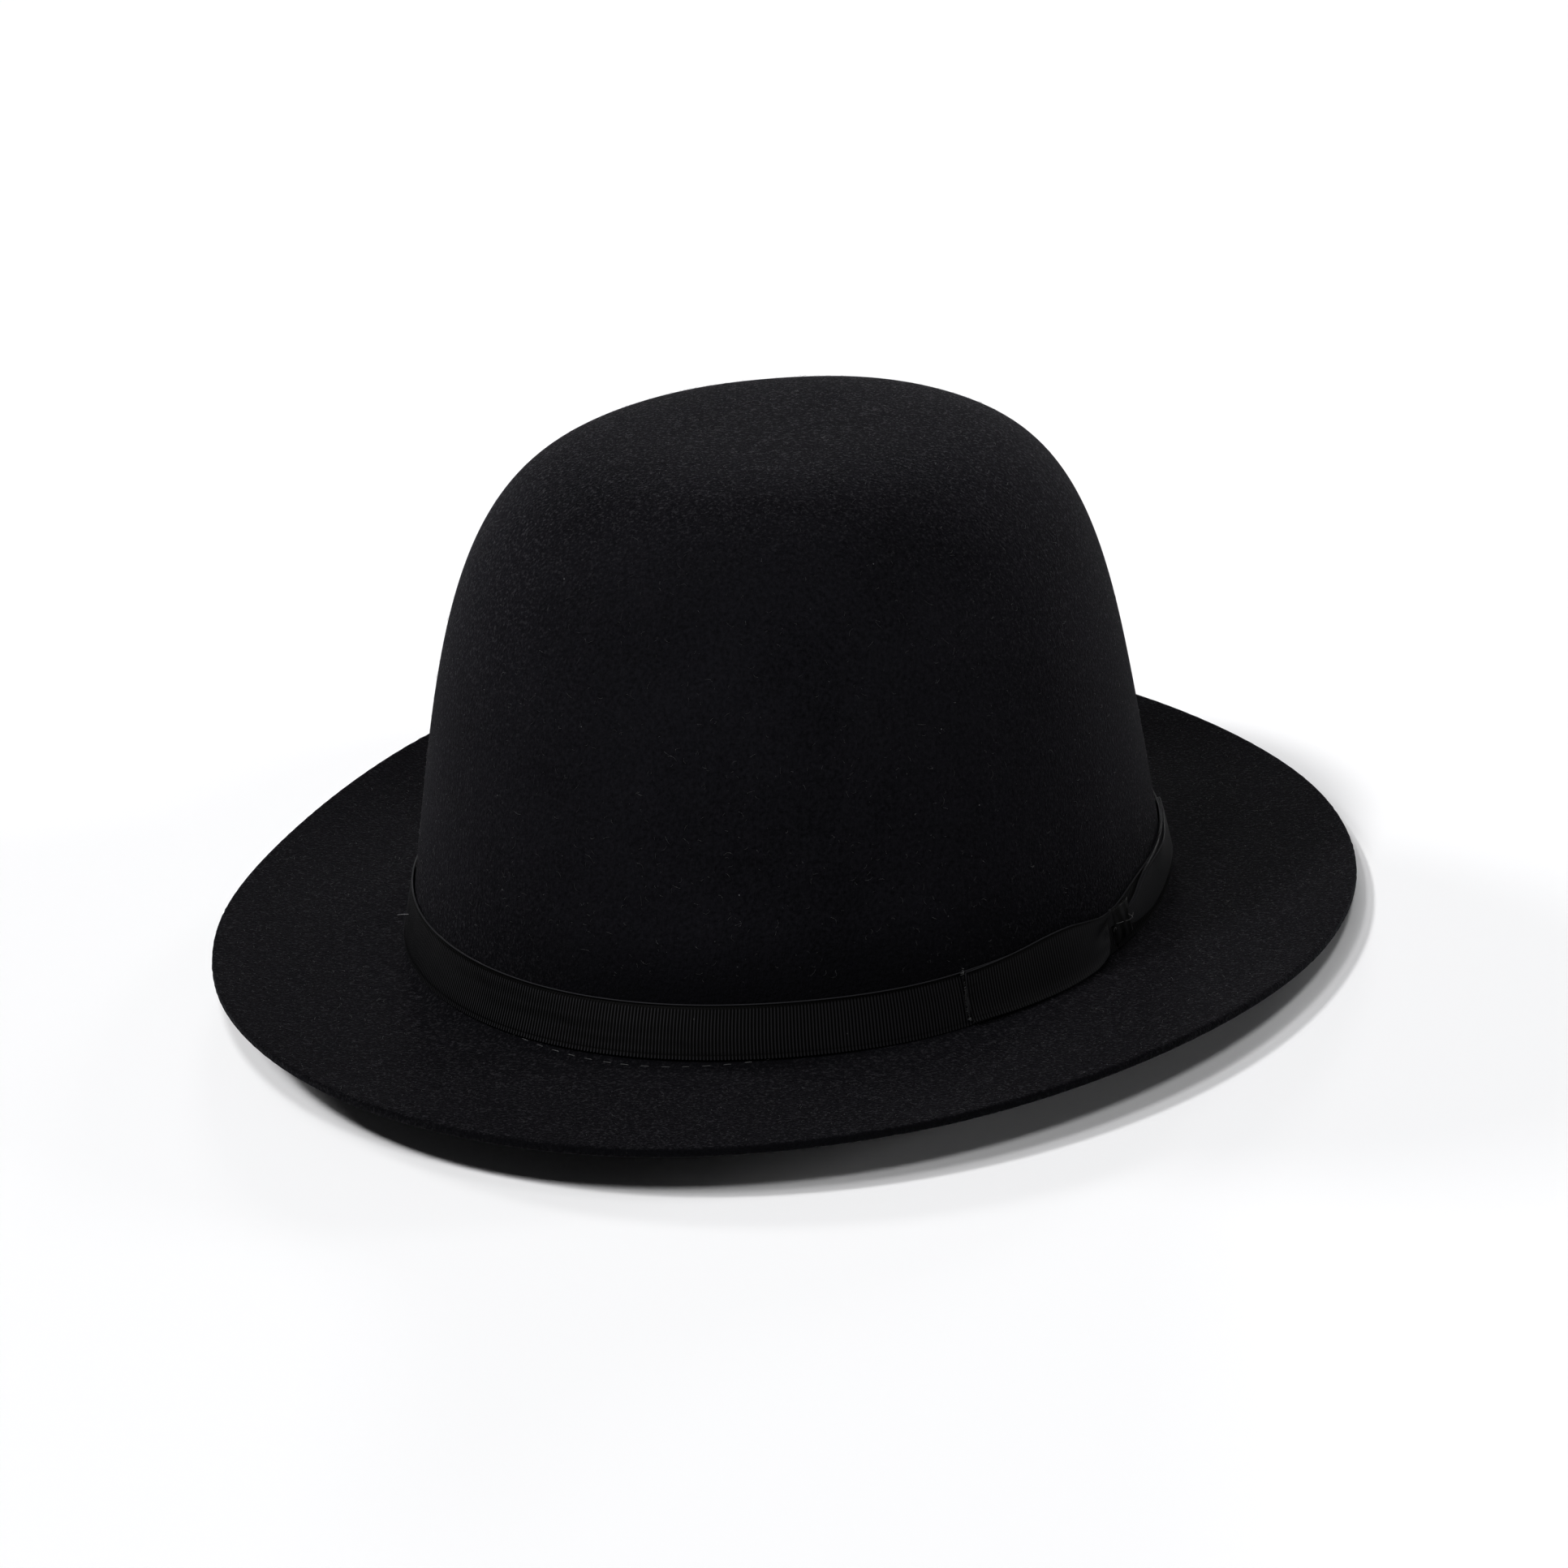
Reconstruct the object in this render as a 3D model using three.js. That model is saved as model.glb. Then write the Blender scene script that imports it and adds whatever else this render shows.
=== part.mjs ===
// A black felt bowler hat lying on its brim, built from the pieces that a hatter puts together.
// Millimetres, +Z up. The front of the hat faces -Y, and its bow is on the wearer's left, at +X.
import * as THREE from "three";
import { mergeVertices } from "three/addons/utils/BufferGeometryUtils.js";

// Felt body: an oval crown and a brim, pressed from one hood of felt
const crownLength = 208;
const crownWidth = 175.4;
const crownHeight = 114.3;
const feltThickness = 1.8;
const breakRadiusEnd = 8;
const breakRadiusSide = 2.5;
const restRing = 6;
const brimFront = 50;
const brimBack = 48;
const brimSide = 44.4;
const cutEdgeRounding = 0.4;

// Height of the brim's edge over the break, at even stations from the wearer's left round by the back
const brimWave = 15;
const brimWaveShares = [0.2, 0.13, 0.24, 0.64, 0.99, 0.7, 0.21, 0.15, 0.16, 0.07, 0.19, 0.3];
const brimCurveShare = 1.6;

// Curve of the crown: its wall leans in by the taper, and the powers set how square its shoulder is
const crownTaperShare = 0.194;
const shoulderFrontShare = 4;
const shoulderBackShare = 6.3;
const shoulderTopShare = 4.5;
const wallTopShare = 0.8;

// Clearance between pieces that are sewn or laid on each other
const fit = 0.35;

// Grosgrain ribbon round the foot of the crown
const ribbonWidth = 12;
const ribbonThickness = 0.5;
const ribbonFoot = 1.2;
const ribbonJoint = 0.8;

// Flat bow on the wearer's left: a cut tail to the front, a folded loop to the back, and a knot
const bowAngle = -12.5;
const tailLength = 53;
const loopLength = 70;
const tailBulge = 2.4;
const loopBulge = 1.9;
const wingRise = 3;
const loopFold = 0.6;
const tailPinch = 13;
const loopPinch = 60;
const pinchShare = 0.42;
const knotWidth = 6;
const knotGap = 1.2;
const knotThickness = 0.5;
const knotSquareShare = 0.4;

// Leather sweatband, sewn by its reed tape to the inside of the break
const leatherThickness = 0.9;
const sweatbandTop = 46;
const sweatbandJoint = 0.6;
const reedRadius = 0.7;
const reedHeight = 3.1;
const tapeThickness = 0.4;
const tapeLeg = 4;
const seamTapeWidth = 14;
const seamTapeThickness = 0.3;
const seamTapeFoot = 12;
const seamTapeTop = 42;

// Narrow ribbon bow over the seam of the sweatband, at the back
const smallRibbonWidth = 5;
const smallRibbonThickness = 0.3;
const smallBowHeight = 12;
const smallLoopLength = 13;
const smallLoopBulge = 1.2;
const smallLoopRise = 3;
const smallFold = 0.6;
const smallKnotWidth = 3.5;

// Satin lining: an oval tip and a side band, joined by a piping
const liningThickness = 0.3;
const liningFoot = 10;
const liningSeamShare = 0.9;
const pipingRadius = 1;

// Smoothness of the faces
const sectorCount = 60;
const domeRings = 8;
const wallRings = 5;
const breakRings = 4;
const brimRings = 5;
const cordSides = 6;
const arcSteps = 4;
const pathSteps = 14;
const knotSteps = 12;

const fullTurn = 2 * Math.PI;
const quarterTurn = Math.PI / 2;
const back = quarterTurn;
const weldDistance = 0.002;
const zoneStep = 0.01;
const angleStep = 0.002;
const up = new THREE.Vector3(0, 0, 1);

// How far each layer inside the crown lies under the felt's outer face
const liningDepth = feltThickness + fit;
const seamTapeDepth = liningDepth + liningThickness + fit;
const leatherDepth = seamTapeDepth + seamTapeThickness + fit;
const leatherMiddle = leatherDepth + leatherThickness / 2;
const leatherFace = leatherDepth + leatherThickness;

const evenShares = (count) => Array.from({ length: count + 1 }, (_, i) => i / count);
const mix = THREE.MathUtils.lerp;

// Zones of the felt's section, from the crown's pole to the brim's edge
const zones = { pole: 0, shoulder: 1, breakStart: 2, breakEnd: 3, restEnd: 4, edge: 5 };

/** Height of the brim's edge over the break at an angle, by a periodic cubic through the stations. */
function brimLift(phi) {
  const count = brimWaveShares.length;
  const place = THREE.MathUtils.euclideanModulo(phi / fullTurn, 1) * count;
  const station = Math.floor(place);
  const f = place - station;
  const [a, b, c, d] = [-1, 0, 1, 2].map((k) => brimWaveShares[(station + k + count) % count]);
  const share = b + (f / 2) * (c - a + f * (2 * a - 5 * b + 4 * c - d + f * (3 * (b - c) + d - a)));
  return share * brimWave;
}

/** Width of the brim at an angle, measured square to the oval of the crown. */
function brimWidth(phi) {
  const end = Math.sin(phi) > 0 ? brimBack : brimFront;
  return mix(brimSide, end, Math.sin(phi) ** 2);
}

/** Radius of the break at an angle: it is rounder at the front and back. */
const breakRadius = (phi) => mix(breakRadiusSide, breakRadiusEnd, Math.sin(phi) ** 2);

/** Share of the break's oval that the crown has left at a share of its height, before the taper. */
const roundedIn = (heightShare, power) => (1 - heightShare ** power) ** (1 / shoulderTopShare);

/** Height and offsets of the felt's outer face at one place of its section. */
function section(zone, phi) {
  const power = mix(shoulderFrontShare, shoulderBackShare, (1 + Math.sin(phi)) / 2);
  const radius = breakRadius(phi);
  if (zone <= zones.shoulder) {
    const reach = zone * roundedIn(wallTopShare, power);
    const heightShare = (1 - reach ** shoulderTopShare) ** (1 / power);
    return { z: heightShare * crownHeight, reach, out: 0 };
  }
  if (zone <= zones.breakStart) {
    const heightShare = mix(wallTopShare, radius / crownHeight, zone - zones.shoulder);
    return { z: heightShare * crownHeight, reach: roundedIn(heightShare, power), out: 0 };
  }
  if (zone <= zones.breakEnd) {
    const angle = (zone - zones.breakStart) * quarterTurn;
    const z = radius * (1 - Math.sin(angle));
    return { z, reach: roundedIn(z / crownHeight, power), out: radius * (1 - Math.cos(angle)) };
  }
  if (zone <= zones.restEnd) {
    return { z: 0, reach: 1, out: radius + restRing * (zone - zones.breakEnd) };
  }
  const share = zone - zones.restEnd;
  const out = mix(radius + restRing, brimWidth(phi) - cutEdgeRounding, share);
  return { z: brimLift(phi) * share ** brimCurveShare, reach: 1, out };
}

/** Point of the felt's outer face: the zone runs down the section, phi runs round from +X. */
function outerFace(zone, phi) {
  const { z, reach, out } = section(zone, phi);
  const scale = reach * (1 - (crownTaperShare * z) / crownHeight);
  const [a, b] = [crownWidth / 2, crownLength / 2];
  const side = new THREE.Vector3(b * Math.cos(phi), a * Math.sin(phi), 0).normalize();
  const onWall = zone <= zones.breakEnd ? scale : 1;
  const oval = new THREE.Vector3(onWall * a * Math.cos(phi), onWall * b * Math.sin(phi), z);
  return oval.addScaledVector(side, out);
}

/** The felt's outer face at one place, with its normal, and the direction down its section. */
function feltFrame(zone, phi) {
  const point = outerFace(zone, phi);
  const from = outerFace(Math.max(zone - angleStep, 0), phi);
  const down = outerFace(Math.min(zone + angleStep, zones.edge), phi).sub(from).normalize();
  const round = outerFace(zone, phi + angleStep).sub(outerFace(zone, phi - angleStep)).normalize();
  const normal = zone === 0 ? up.clone() : down.clone().cross(round).normalize();
  return { point, normal, down };
}

/** Point at a depth under the felt's outer face. */
function under(zone, phi, depth) {
  const { point, normal } = feltFrame(zone, phi);
  return point.addScaledVector(normal, -depth);
}

/** Zone of the crown's wall or break at a height. */
function zoneAt(height, phi) {
  const radius = breakRadius(phi);
  if (height < radius) return zones.breakStart + Math.asin(1 - height / radius) / quarterTurn;
  const share = (height / crownHeight - wallTopShare) / (radius / crownHeight - wallTopShare);
  return zones.shoulder + share;
}

/** Parameter that lies a distance away from the start, along the curve of pointAt. */
function walk(pointAt, start, step, distance) {
  let parameter = start;
  let from = pointAt(start);
  for (let left = distance; ; ) {
    const to = pointAt(parameter + step);
    const length = from.distanceTo(to);
    if (length >= left) return parameter + (step * left) / length;
    left -= length;
    parameter += step;
    from = to;
  }
}

/** One closed solid swept through sections that hold equal numbers of points, closed in a ring or capped. */
function sweep(sections, ring) {
  const size = sections[0].length;
  const indices = [];
  const quad = (a, b, c, d) => indices.push(a, b, c, a, c, d);
  const spans = ring ? sections.length : sections.length - 1;
  for (let i = 0; i < spans; i++) {
    const [near, far] = [i * size, ((i + 1) % sections.length) * size];
    for (let j = 0; j < size; j++) {
      const next = (j + 1) % size;
      quad(near + j, near + next, far + next, far + j);
    }
  }
  if (!ring) {
    const last = (sections.length - 1) * size;
    for (let j = 0; j < size / 2 - 1; j++) {
      const [a, b, c, d] = [j, j + 1, size - 2 - j, size - 1 - j];
      quad(d, c, b, a);
      quad(last + a, last + b, last + c, last + d);
    }
  }
  return closedGeometry(sections.flat(), indices);
}

/** A geometry with its points welded, its empty triangles left out and its faces turned outwards. */
function closedGeometry(points, indices) {
  const loose = new THREE.BufferGeometry().setFromPoints(points);
  loose.setIndex(indices);
  const welded = mergeVertices(loose, weldDistance);
  const position = welded.getAttribute("position");
  const corner = (i) => new THREE.Vector3().fromBufferAttribute(position, i);
  const triangles = [];
  let volume = 0;
  for (let i = 0; i < welded.index.count; i += 3) {
    const [a, b, c] = [0, 1, 2].map((k) => welded.index.getX(i + k));
    if (a === b || b === c || c === a) continue;
    triangles.push([a, b, c]);
    volume += corner(a).dot(corner(b).cross(corner(c)));
  }
  welded.setIndex(triangles.flatMap(([a, b, c]) => (volume < 0 ? [a, c, b] : [a, b, c])));
  welded.computeVertexNormals();
  return welded;
}

/** Angles of the sections of a piece that goes all the way round. */
const roundAngles = evenShares(sectorCount).slice(1).map((share) => share * fullTurn);

/** Angles of the sections of a strip round the crown that is cut open by a gap at one place. */
function openAngles(middle, gap, pointAt) {
  const start = walk(pointAt, middle, angleStep, gap / 2);
  const end = walk(pointAt, middle, -angleStep, gap / 2) + fullTurn;
  return evenShares(sectorCount).map((share) => mix(start, end, share));
}

/** Section of a sheet that lies between two depths under the felt, through the listed zones. */
function layerSection(zoneList, phi, depth, thickness) {
  const outer = zoneList.map((zone) => under(zone, phi, depth));
  const inner = zoneList.map((zone) => under(zone, phi, depth + thickness));
  return [...outer, ...inner.reverse()];
}

/** A sheet parallel to the felt between two zones, all the way round or through the listed angles. */
function layer(zonesAt, depth, thickness, angles = roundAngles) {
  const sections = angles.map((phi) => layerSection(zonesAt(phi), phi, depth, thickness));
  return sweep(sections, angles === roundAngles);
}

/** Even zones from one to another. */
const evenZones = (from, to, count = arcSteps) => evenShares(count).map((share) => mix(from, to, share));

/** A round cord that goes all the way round at one depth. */
function cordRound(zoneOf, depth, radius) {
  const sections = roundAngles.map((phi) => {
    const { point, normal, down } = feltFrame(zoneOf(phi), phi);
    const centre = point.addScaledVector(normal, -depth);
    return evenShares(cordSides).slice(1).map((share) => {
      const angle = share * fullTurn;
      const rim = centre.clone().addScaledVector(normal, radius * Math.cos(angle));
      return rim.addScaledVector(down, radius * Math.sin(angle));
    });
  });
  return sweep(sections, true);
}

/** The felt body: crown, break and brim in one piece, with the brim's raw cut edge. */
function feltBody() {
  const dome = evenShares(domeRings).map((share) => zones.shoulder * Math.sin(share * quarterTurn));
  const wall = evenShares(wallRings).map((share) => zones.shoulder + 1 - Math.cos(share * quarterTurn));
  const zoneList = [
    ...dome,
    ...wall.slice(1),
    ...evenZones(zones.breakStart, zones.breakEnd, breakRings).slice(1),
    ...evenZones(zones.restEnd, zones.edge, brimRings),
  ];
  const sections = roundAngles.map((phi) => {
    const sheet = layerSection(zoneList, phi, 0, feltThickness);
    const { point, normal, down } = feltFrame(zones.edge, phi);
    const rim = point.addScaledVector(down, cutEdgeRounding);
    const upper = rim.clone().addScaledVector(normal, -cutEdgeRounding);
    const lower = rim.clone().addScaledVector(normal, cutEdgeRounding - feltThickness);
    return [...sheet.slice(0, zoneList.length), upper, lower, ...sheet.slice(zoneList.length)];
  });
  return sweep(sections, true);
}

/** Foot, head and outward normal of the hat ribbon's inner face: a straight strip that leans on the break. */
function ribbonFrame(phi) {
  const footFrame = feltFrame(zoneAt(ribbonFoot, phi), phi);
  const foot = footFrame.point.addScaledVector(footFrame.normal, fit);
  const head = under(zoneAt(ribbonFoot + ribbonWidth, phi), phi, -fit);
  const rise = head.sub(foot).setLength(ribbonWidth);
  const ahead = outerFace(zones.breakStart, phi + angleStep);
  const round = ahead.sub(outerFace(zones.breakStart, phi - angleStep));
  const normal = round.cross(rise).normalize();
  return { foot, rise, normal };
}

/** Point on the hat ribbon's outer face, or off it, at a share of the ribbon's width. */
function onRibbon(phi, off, widthShare) {
  const { foot, rise, normal } = ribbonFrame(phi);
  return foot.addScaledVector(rise, widthShare).addScaledVector(normal, ribbonThickness + off);
}

/** The hat ribbon, whose ends meet under the bow. */
function hatRibbon() {
  const angles = openAngles(bowMiddle, ribbonJoint, (phi) => onRibbon(phi, 0, 0.5));
  const sections = angles.map((phi) => [
    onRibbon(phi, -ribbonThickness, 0),
    onRibbon(phi, -ribbonThickness, 1),
    onRibbon(phi, 0, 1),
    onRibbon(phi, 0, 0),
  ]);
  return sweep(sections, false);
}

/**
 * A length of ribbon that follows a path in the plane of distance along and height off its ground.
 * place turns (along, off, widthShare) into a point, and edges gives the two width shares at a distance.
 */
function ribbonPiece(path, thickness, place, edges) {
  const sections = path.map(([along, off], i) => {
    const [alongBefore, offBefore] = path[Math.max(i - 1, 0)];
    const [alongAfter, offAfter] = path[Math.min(i + 1, path.length - 1)];
    const length = Math.hypot(alongAfter - alongBefore, offAfter - offBefore);
    const aside = (((offAfter - offBefore) / length) * thickness) / 2;
    const above = (((alongAfter - alongBefore) / length) * thickness) / 2;
    const [low, high] = edges(along);
    return [
      place(along + aside, off - above, low),
      place(along + aside, off - above, high),
      place(along - aside, off + above, high),
      place(along - aside, off + above, low),
    ];
  });
  return sweep(sections, false);
}

const smooth = (share) => THREE.MathUtils.smoothstep(share, 0, 1);

/** Path of a wing's outer ribbon: flat under the knot, puffed out beside it, easing down to its end. */
function wingPath(start, knotHalf, rise, bulge, ground, end, length) {
  const path = [[start, ground]];
  const crest = knotHalf + rise;
  evenShares(arcSteps).forEach((share) => {
    path.push([mix(knotHalf, crest, share), mix(ground, bulge, smooth(share))]);
  });
  evenShares(pathSteps).slice(1).forEach((share) => {
    path.push([mix(crest, length, share), mix(bulge, end, smooth(share))]);
  });
  return path;
}

/** Path of a folded loop: out along the top, round the fold and back along the ground to the knot. */
function loopPath(top, ground, fold, start) {
  const [length, topOff] = top[top.length - 1];
  const radius = (topOff - ground) / 2;
  const bend = evenShares(arcSteps).slice(1).map((share) => {
    const angle = quarterTurn - share * Math.PI;
    return [length + fold * Math.cos(angle), ground + radius + radius * Math.sin(angle)];
  });
  const home = evenShares(pathSteps).slice(1).map((share) => [mix(length, start, share), ground]);
  return [...top, ...bend, ...home];
}

/** Knot that arches over the pinched wings, as a path from its lower to its upper edge. */
function knotPath(low, high, height, ground) {
  const middle = (low + high) / 2;
  const [half, rise] = [middle - low, height - ground];
  return evenShares(knotSteps).map((share) => {
    const angle = Math.PI * (1 - share);
    const [across, above] = [Math.cos(angle), Math.sin(angle)];
    const aside = Math.sign(across) * Math.abs(across) ** knotSquareShare;
    return [middle + half * aside, ground + rise * above ** knotSquareShare];
  });
}

// Bow on the hat ribbon
const bowMiddle = THREE.MathUtils.degToRad(bowAngle);
const bowGround = fit + ribbonThickness / 2;
const bowTop = bowGround + ribbonThickness + fit;
const knotHeight = bowTop + ribbonThickness / 2 + fit + knotThickness / 2;
const wingStart = fit;
const knotHalf = knotWidth / 2 + knotGap;

/** Place on the ribbon at a distance from the bow's middle, towards the back (1) or the front (-1). */
function bowPlace(direction) {
  const table = new Map();
  return (along, off, widthShare) => {
    const key = along.toFixed(6);
    const forwards = along < 0 ? -direction : direction;
    const pointAt = (phi) => onRibbon(phi, 0, 0.5);
    if (!table.has(key)) table.set(key, walk(pointAt, bowMiddle, angleStep * forwards, Math.abs(along)));
    return onRibbon(table.get(key), off, widthShare);
  };
}

/** Width shares of a wing: its lower edge is pinched up beside the knot. */
const pinched = (length) => (along) => [pinchShare * (1 - smooth((along - knotHalf) / length)), 1];

function bowTail() {
  const path = wingPath(wingStart, knotHalf, wingRise, tailBulge, bowGround, bowGround, tailLength);
  return ribbonPiece(path, ribbonThickness, bowPlace(-1), pinched(tailPinch));
}

function bowLoop() {
  const end = bowGround + 2 * loopFold;
  const top = wingPath(wingStart, knotHalf, wingRise, loopBulge, bowTop, end, loopLength);
  const path = loopPath(top, bowGround, loopFold, wingStart);
  return ribbonPiece(path, ribbonThickness, bowPlace(1), pinched(loopPinch));
}

function bowKnot() {
  const place = bowPlace(1);
  const low = pinchShare * ribbonWidth - 2 * knotThickness - fit;
  const high = ribbonWidth + 2 * knotThickness + fit;
  const path = knotPath(low, high, knotHeight, fit + knotThickness / 2);
  const across = (height, off, share) => place(knotWidth * (share - 0.5), off, height / ribbonWidth);
  return ribbonPiece(path, knotThickness, across, () => [0, 1]);
}

// Sweatband, with the reed in its tape along the foot
const reedZone = (phi) => zoneAt(reedHeight, phi);
const tapeRadius = reedRadius + fit;

/** Zone of the leather's middle at a distance above the reed. */
function zoneOverReed(phi, distance) {
  return walk((zone) => under(zone, phi, leatherMiddle), reedZone(phi), -zoneStep, distance);
}

function sweatband() {
  const angles = openAngles(back, sweatbandJoint, (phi) => under(zones.breakStart, phi, leatherDepth));
  const zonesAt = (phi) => evenZones(zoneAt(sweatbandTop, phi), zoneOverReed(phi, tapeRadius));
  return layer(zonesAt, leatherDepth, leatherThickness, angles);
}

/** The tape is folded under the reed, with a leg up each face of the leather. */
function reedTape() {
  const sections = roundAngles.map((phi) => {
    const legTop = zoneOverReed(phi, tapeLeg);
    const { point, normal, down } = feltFrame(reedZone(phi), phi);
    const centre = point.addScaledVector(normal, -leatherMiddle);
    const line = (radius) => [
      under(legTop, phi, leatherMiddle - radius),
      ...evenShares(arcSteps).map((share) => {
        const angle = share * Math.PI;
        const rim = centre.clone().addScaledVector(normal, radius * Math.cos(angle));
        return rim.addScaledVector(down, radius * Math.sin(angle));
      }),
      under(legTop, phi, leatherMiddle + radius),
    ];
    return [...line(tapeRadius), ...line(tapeRadius + tapeThickness).reverse()];
  });
  return sweep(sections, true);
}

/** Tape behind the joint of the leather, at the back. */
function seamTape() {
  const zonesAt = (phi) => evenZones(zoneAt(seamTapeTop, phi), zoneAt(seamTapeFoot, phi));
  const pointAt = (phi) => under(zones.breakStart, phi, seamTapeDepth);
  const reach = walk(pointAt, back, angleStep, seamTapeWidth / 2) - back;
  const angles = evenShares(2).map((share) => mix(back - reach, back + reach, share));
  return layer(zonesAt, seamTapeDepth, seamTapeThickness, angles);
}

// Small bow on the face of the sweatband
const smallGround = fit + smallRibbonThickness / 2;
const smallTop = smallGround + smallRibbonThickness + fit;
const smallKnotHalf = smallKnotWidth / 2 + fit;

/** Place on the leather's face at a distance from the back seam, off the leather, up the small ribbon. */
function smallPlace(direction) {
  const lineAt = (phi) => under(zoneAt(smallBowHeight, phi), phi, leatherFace);
  return (along, off, widthShare) => {
    const forwards = along < 0 ? -direction : direction;
    const phi = walk(lineAt, back, angleStep * forwards, Math.abs(along));
    const height = smallBowHeight + smallRibbonWidth * (widthShare - 0.5);
    return under(zoneAt(height, phi), phi, leatherFace + off);
  };
}

function smallLoop(direction) {
  const end = smallGround + 2 * smallFold;
  const [start, half, rise, bulge] = [fit, smallKnotHalf, smallLoopRise, smallLoopBulge];
  const top = wingPath(start, half, rise, smallGround + bulge, smallTop, end, smallLoopLength);
  const path = loopPath(top, smallGround, smallFold, start);
  return ribbonPiece(path, smallRibbonThickness, smallPlace(direction), () => [0, 1]);
}

function smallKnot() {
  const place = smallPlace(1);
  const edge = fit + smallRibbonThickness;
  const path = knotPath(-edge, smallRibbonWidth + edge, smallTop + smallRibbonThickness + fit, smallGround);
  const across = (height, off, share) => {
    return place(smallKnotWidth * (share - 0.5), off, height / smallRibbonWidth);
  };
  return ribbonPiece(path, smallRibbonThickness, across, () => [0, 1]);
}

// Lining: the tip covers the crown's top, and the side band goes down behind the sweatband
const seamZone = liningSeamShare;
const seamReach = pipingRadius + fit;
const onLining = (zone) => under(zone, -quarterTurn, liningDepth);

function liningTip() {
  const rim = walk(onLining, seamZone, -zoneStep, seamReach);
  return layer(() => evenZones(zones.pole, rim), liningDepth, liningThickness);
}

function liningSide() {
  const start = walk(onLining, seamZone, zoneStep, seamReach);
  const zonesAt = (phi) => [start, ...evenZones(zones.shoulder, zoneAt(liningFoot, phi))];
  return layer(zonesAt, liningDepth, liningThickness);
}

const liningPiping = () => cordRound(() => seamZone, liningDepth + pipingRadius, pipingRadius);

// Materials, with the colours of the photograph
const finish = (color, roughness) => new THREE.MeshStandardMaterial({ color, roughness, metalness: 0 });
const felt = finish("#1a191e", 0.95);
const grosgrain = finish("#0e0e10", 0.7);
const leather = finish("#1f1713", 0.55);
const tape = finish("#141416", 0.85);
const reed = finish("#2a2a2c", 0.5);
const satin = finish("#2b2c32", 0.4);

const pieces = {
  felt_body: [feltBody(), felt],
  hat_ribbon: [hatRibbon(), grosgrain],
  bow_front_tail: [bowTail(), grosgrain],
  bow_rear_loop: [bowLoop(), grosgrain],
  bow_knot: [bowKnot(), grosgrain],
  sweatband: [sweatband(), leather],
  sweatband_reed: [cordRound(reedZone, leatherMiddle, reedRadius), reed],
  reed_tape: [reedTape(), tape],
  sweatband_seam_tape: [seamTape(), tape],
  sweatband_bow_left_loop: [smallLoop(-1), grosgrain],
  sweatband_bow_right_loop: [smallLoop(1), grosgrain],
  sweatband_bow_knot: [smallKnot(), grosgrain],
  lining_side: [liningSide(), satin],
  lining_tip: [liningTip(), satin],
  lining_piping: [liningPiping(), satin],
};

const hat = new THREE.Group();
for (const [name, [geometry, material]] of Object.entries(pieces)) {
  const mesh = new THREE.Mesh(geometry, material);
  mesh.name = name;
  hat.add(mesh);
}

// The part stands on z = 0, over the middle of its box
const box = new THREE.Box3().setFromObject(hat);
const middle = box.getCenter(new THREE.Vector3());
hat.position.set(-middle.x, -middle.y, feltThickness);

export default hat;
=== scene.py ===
"""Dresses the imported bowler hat: napped felt, ribbed ribbon, threads, leather and satin, on a pale floor."""

from __future__ import annotations

import logging
import math
from collections.abc import Callable, Sequence
from dataclasses import dataclass, field
from enum import Enum
from functools import cached_property

import bpy
import numpy as np
from mathutils import Matrix, Vector
from numpy.typing import NDArray

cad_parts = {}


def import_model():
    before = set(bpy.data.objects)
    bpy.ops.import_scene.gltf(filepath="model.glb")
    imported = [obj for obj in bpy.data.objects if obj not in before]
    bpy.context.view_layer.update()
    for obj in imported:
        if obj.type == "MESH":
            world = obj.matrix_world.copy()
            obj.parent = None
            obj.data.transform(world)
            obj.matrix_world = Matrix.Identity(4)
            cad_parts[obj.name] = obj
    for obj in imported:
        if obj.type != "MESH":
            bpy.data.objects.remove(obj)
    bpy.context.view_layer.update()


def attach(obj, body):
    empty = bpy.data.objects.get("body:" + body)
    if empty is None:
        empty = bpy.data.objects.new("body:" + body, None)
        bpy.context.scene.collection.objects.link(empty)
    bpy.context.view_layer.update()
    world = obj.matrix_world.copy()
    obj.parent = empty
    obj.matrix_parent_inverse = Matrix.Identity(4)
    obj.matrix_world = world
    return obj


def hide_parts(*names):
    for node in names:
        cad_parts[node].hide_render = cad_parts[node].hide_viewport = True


LOG = logging.getLogger("bowler_hat")
Piece = bpy.types.Object
Floats = NDArray[np.float64]
Whole = NDArray[np.int64]
MM = 0.001
TURN = 2 * math.pi
QUARTER = math.pi / 2
BACK = QUARTER
FRONT = -QUARTER
ROOT = "root"
STITCH_MIDDLE = math.radians(-89.0)
STITCH_SPAN = math.radians(28.0)
NUDGE = 0.002
UP = np.array([0.0, 0.0, 1.0])


class Slot(Enum):
    """The record's material slots."""

    FELT = "felt"
    GROSGRAIN = "grosgrain"
    LEATHER = "leather"
    TAPE = "tape"
    REED = "reed"
    SATIN = "satin"


class Side(Enum):
    """Way along a ribbon from the middle of its bow: towards the back of the hat or towards its front."""

    BACKWARD = 1
    FORWARD = -1


# Shape helpers


def matched(*values: Floats | float) -> tuple[Floats, ...]:
    """The values as arrays of one shape."""
    return np.broadcast_arrays(*(np.asarray(value, dtype=float) for value in values))


def mix(low: Floats | float, high: Floats | float, share: Floats | float) -> Floats:
    """Straight line from low at share 0 to high at share 1."""
    return low + (high - low) * share


def smooth(share: Floats | float) -> Floats:
    """Smooth step 3s^2 - 2s^3 of a share kept between 0 and 1."""
    s = np.clip(share, 0.0, 1.0)
    return s * s * (3 - 2 * s)


def bell(at: Floats | float, middle: float, width: float) -> Floats:
    """Bell curve exp(-((at - middle) / width)^2)."""
    return np.exp(-(((at - middle) / width) ** 2))


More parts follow.
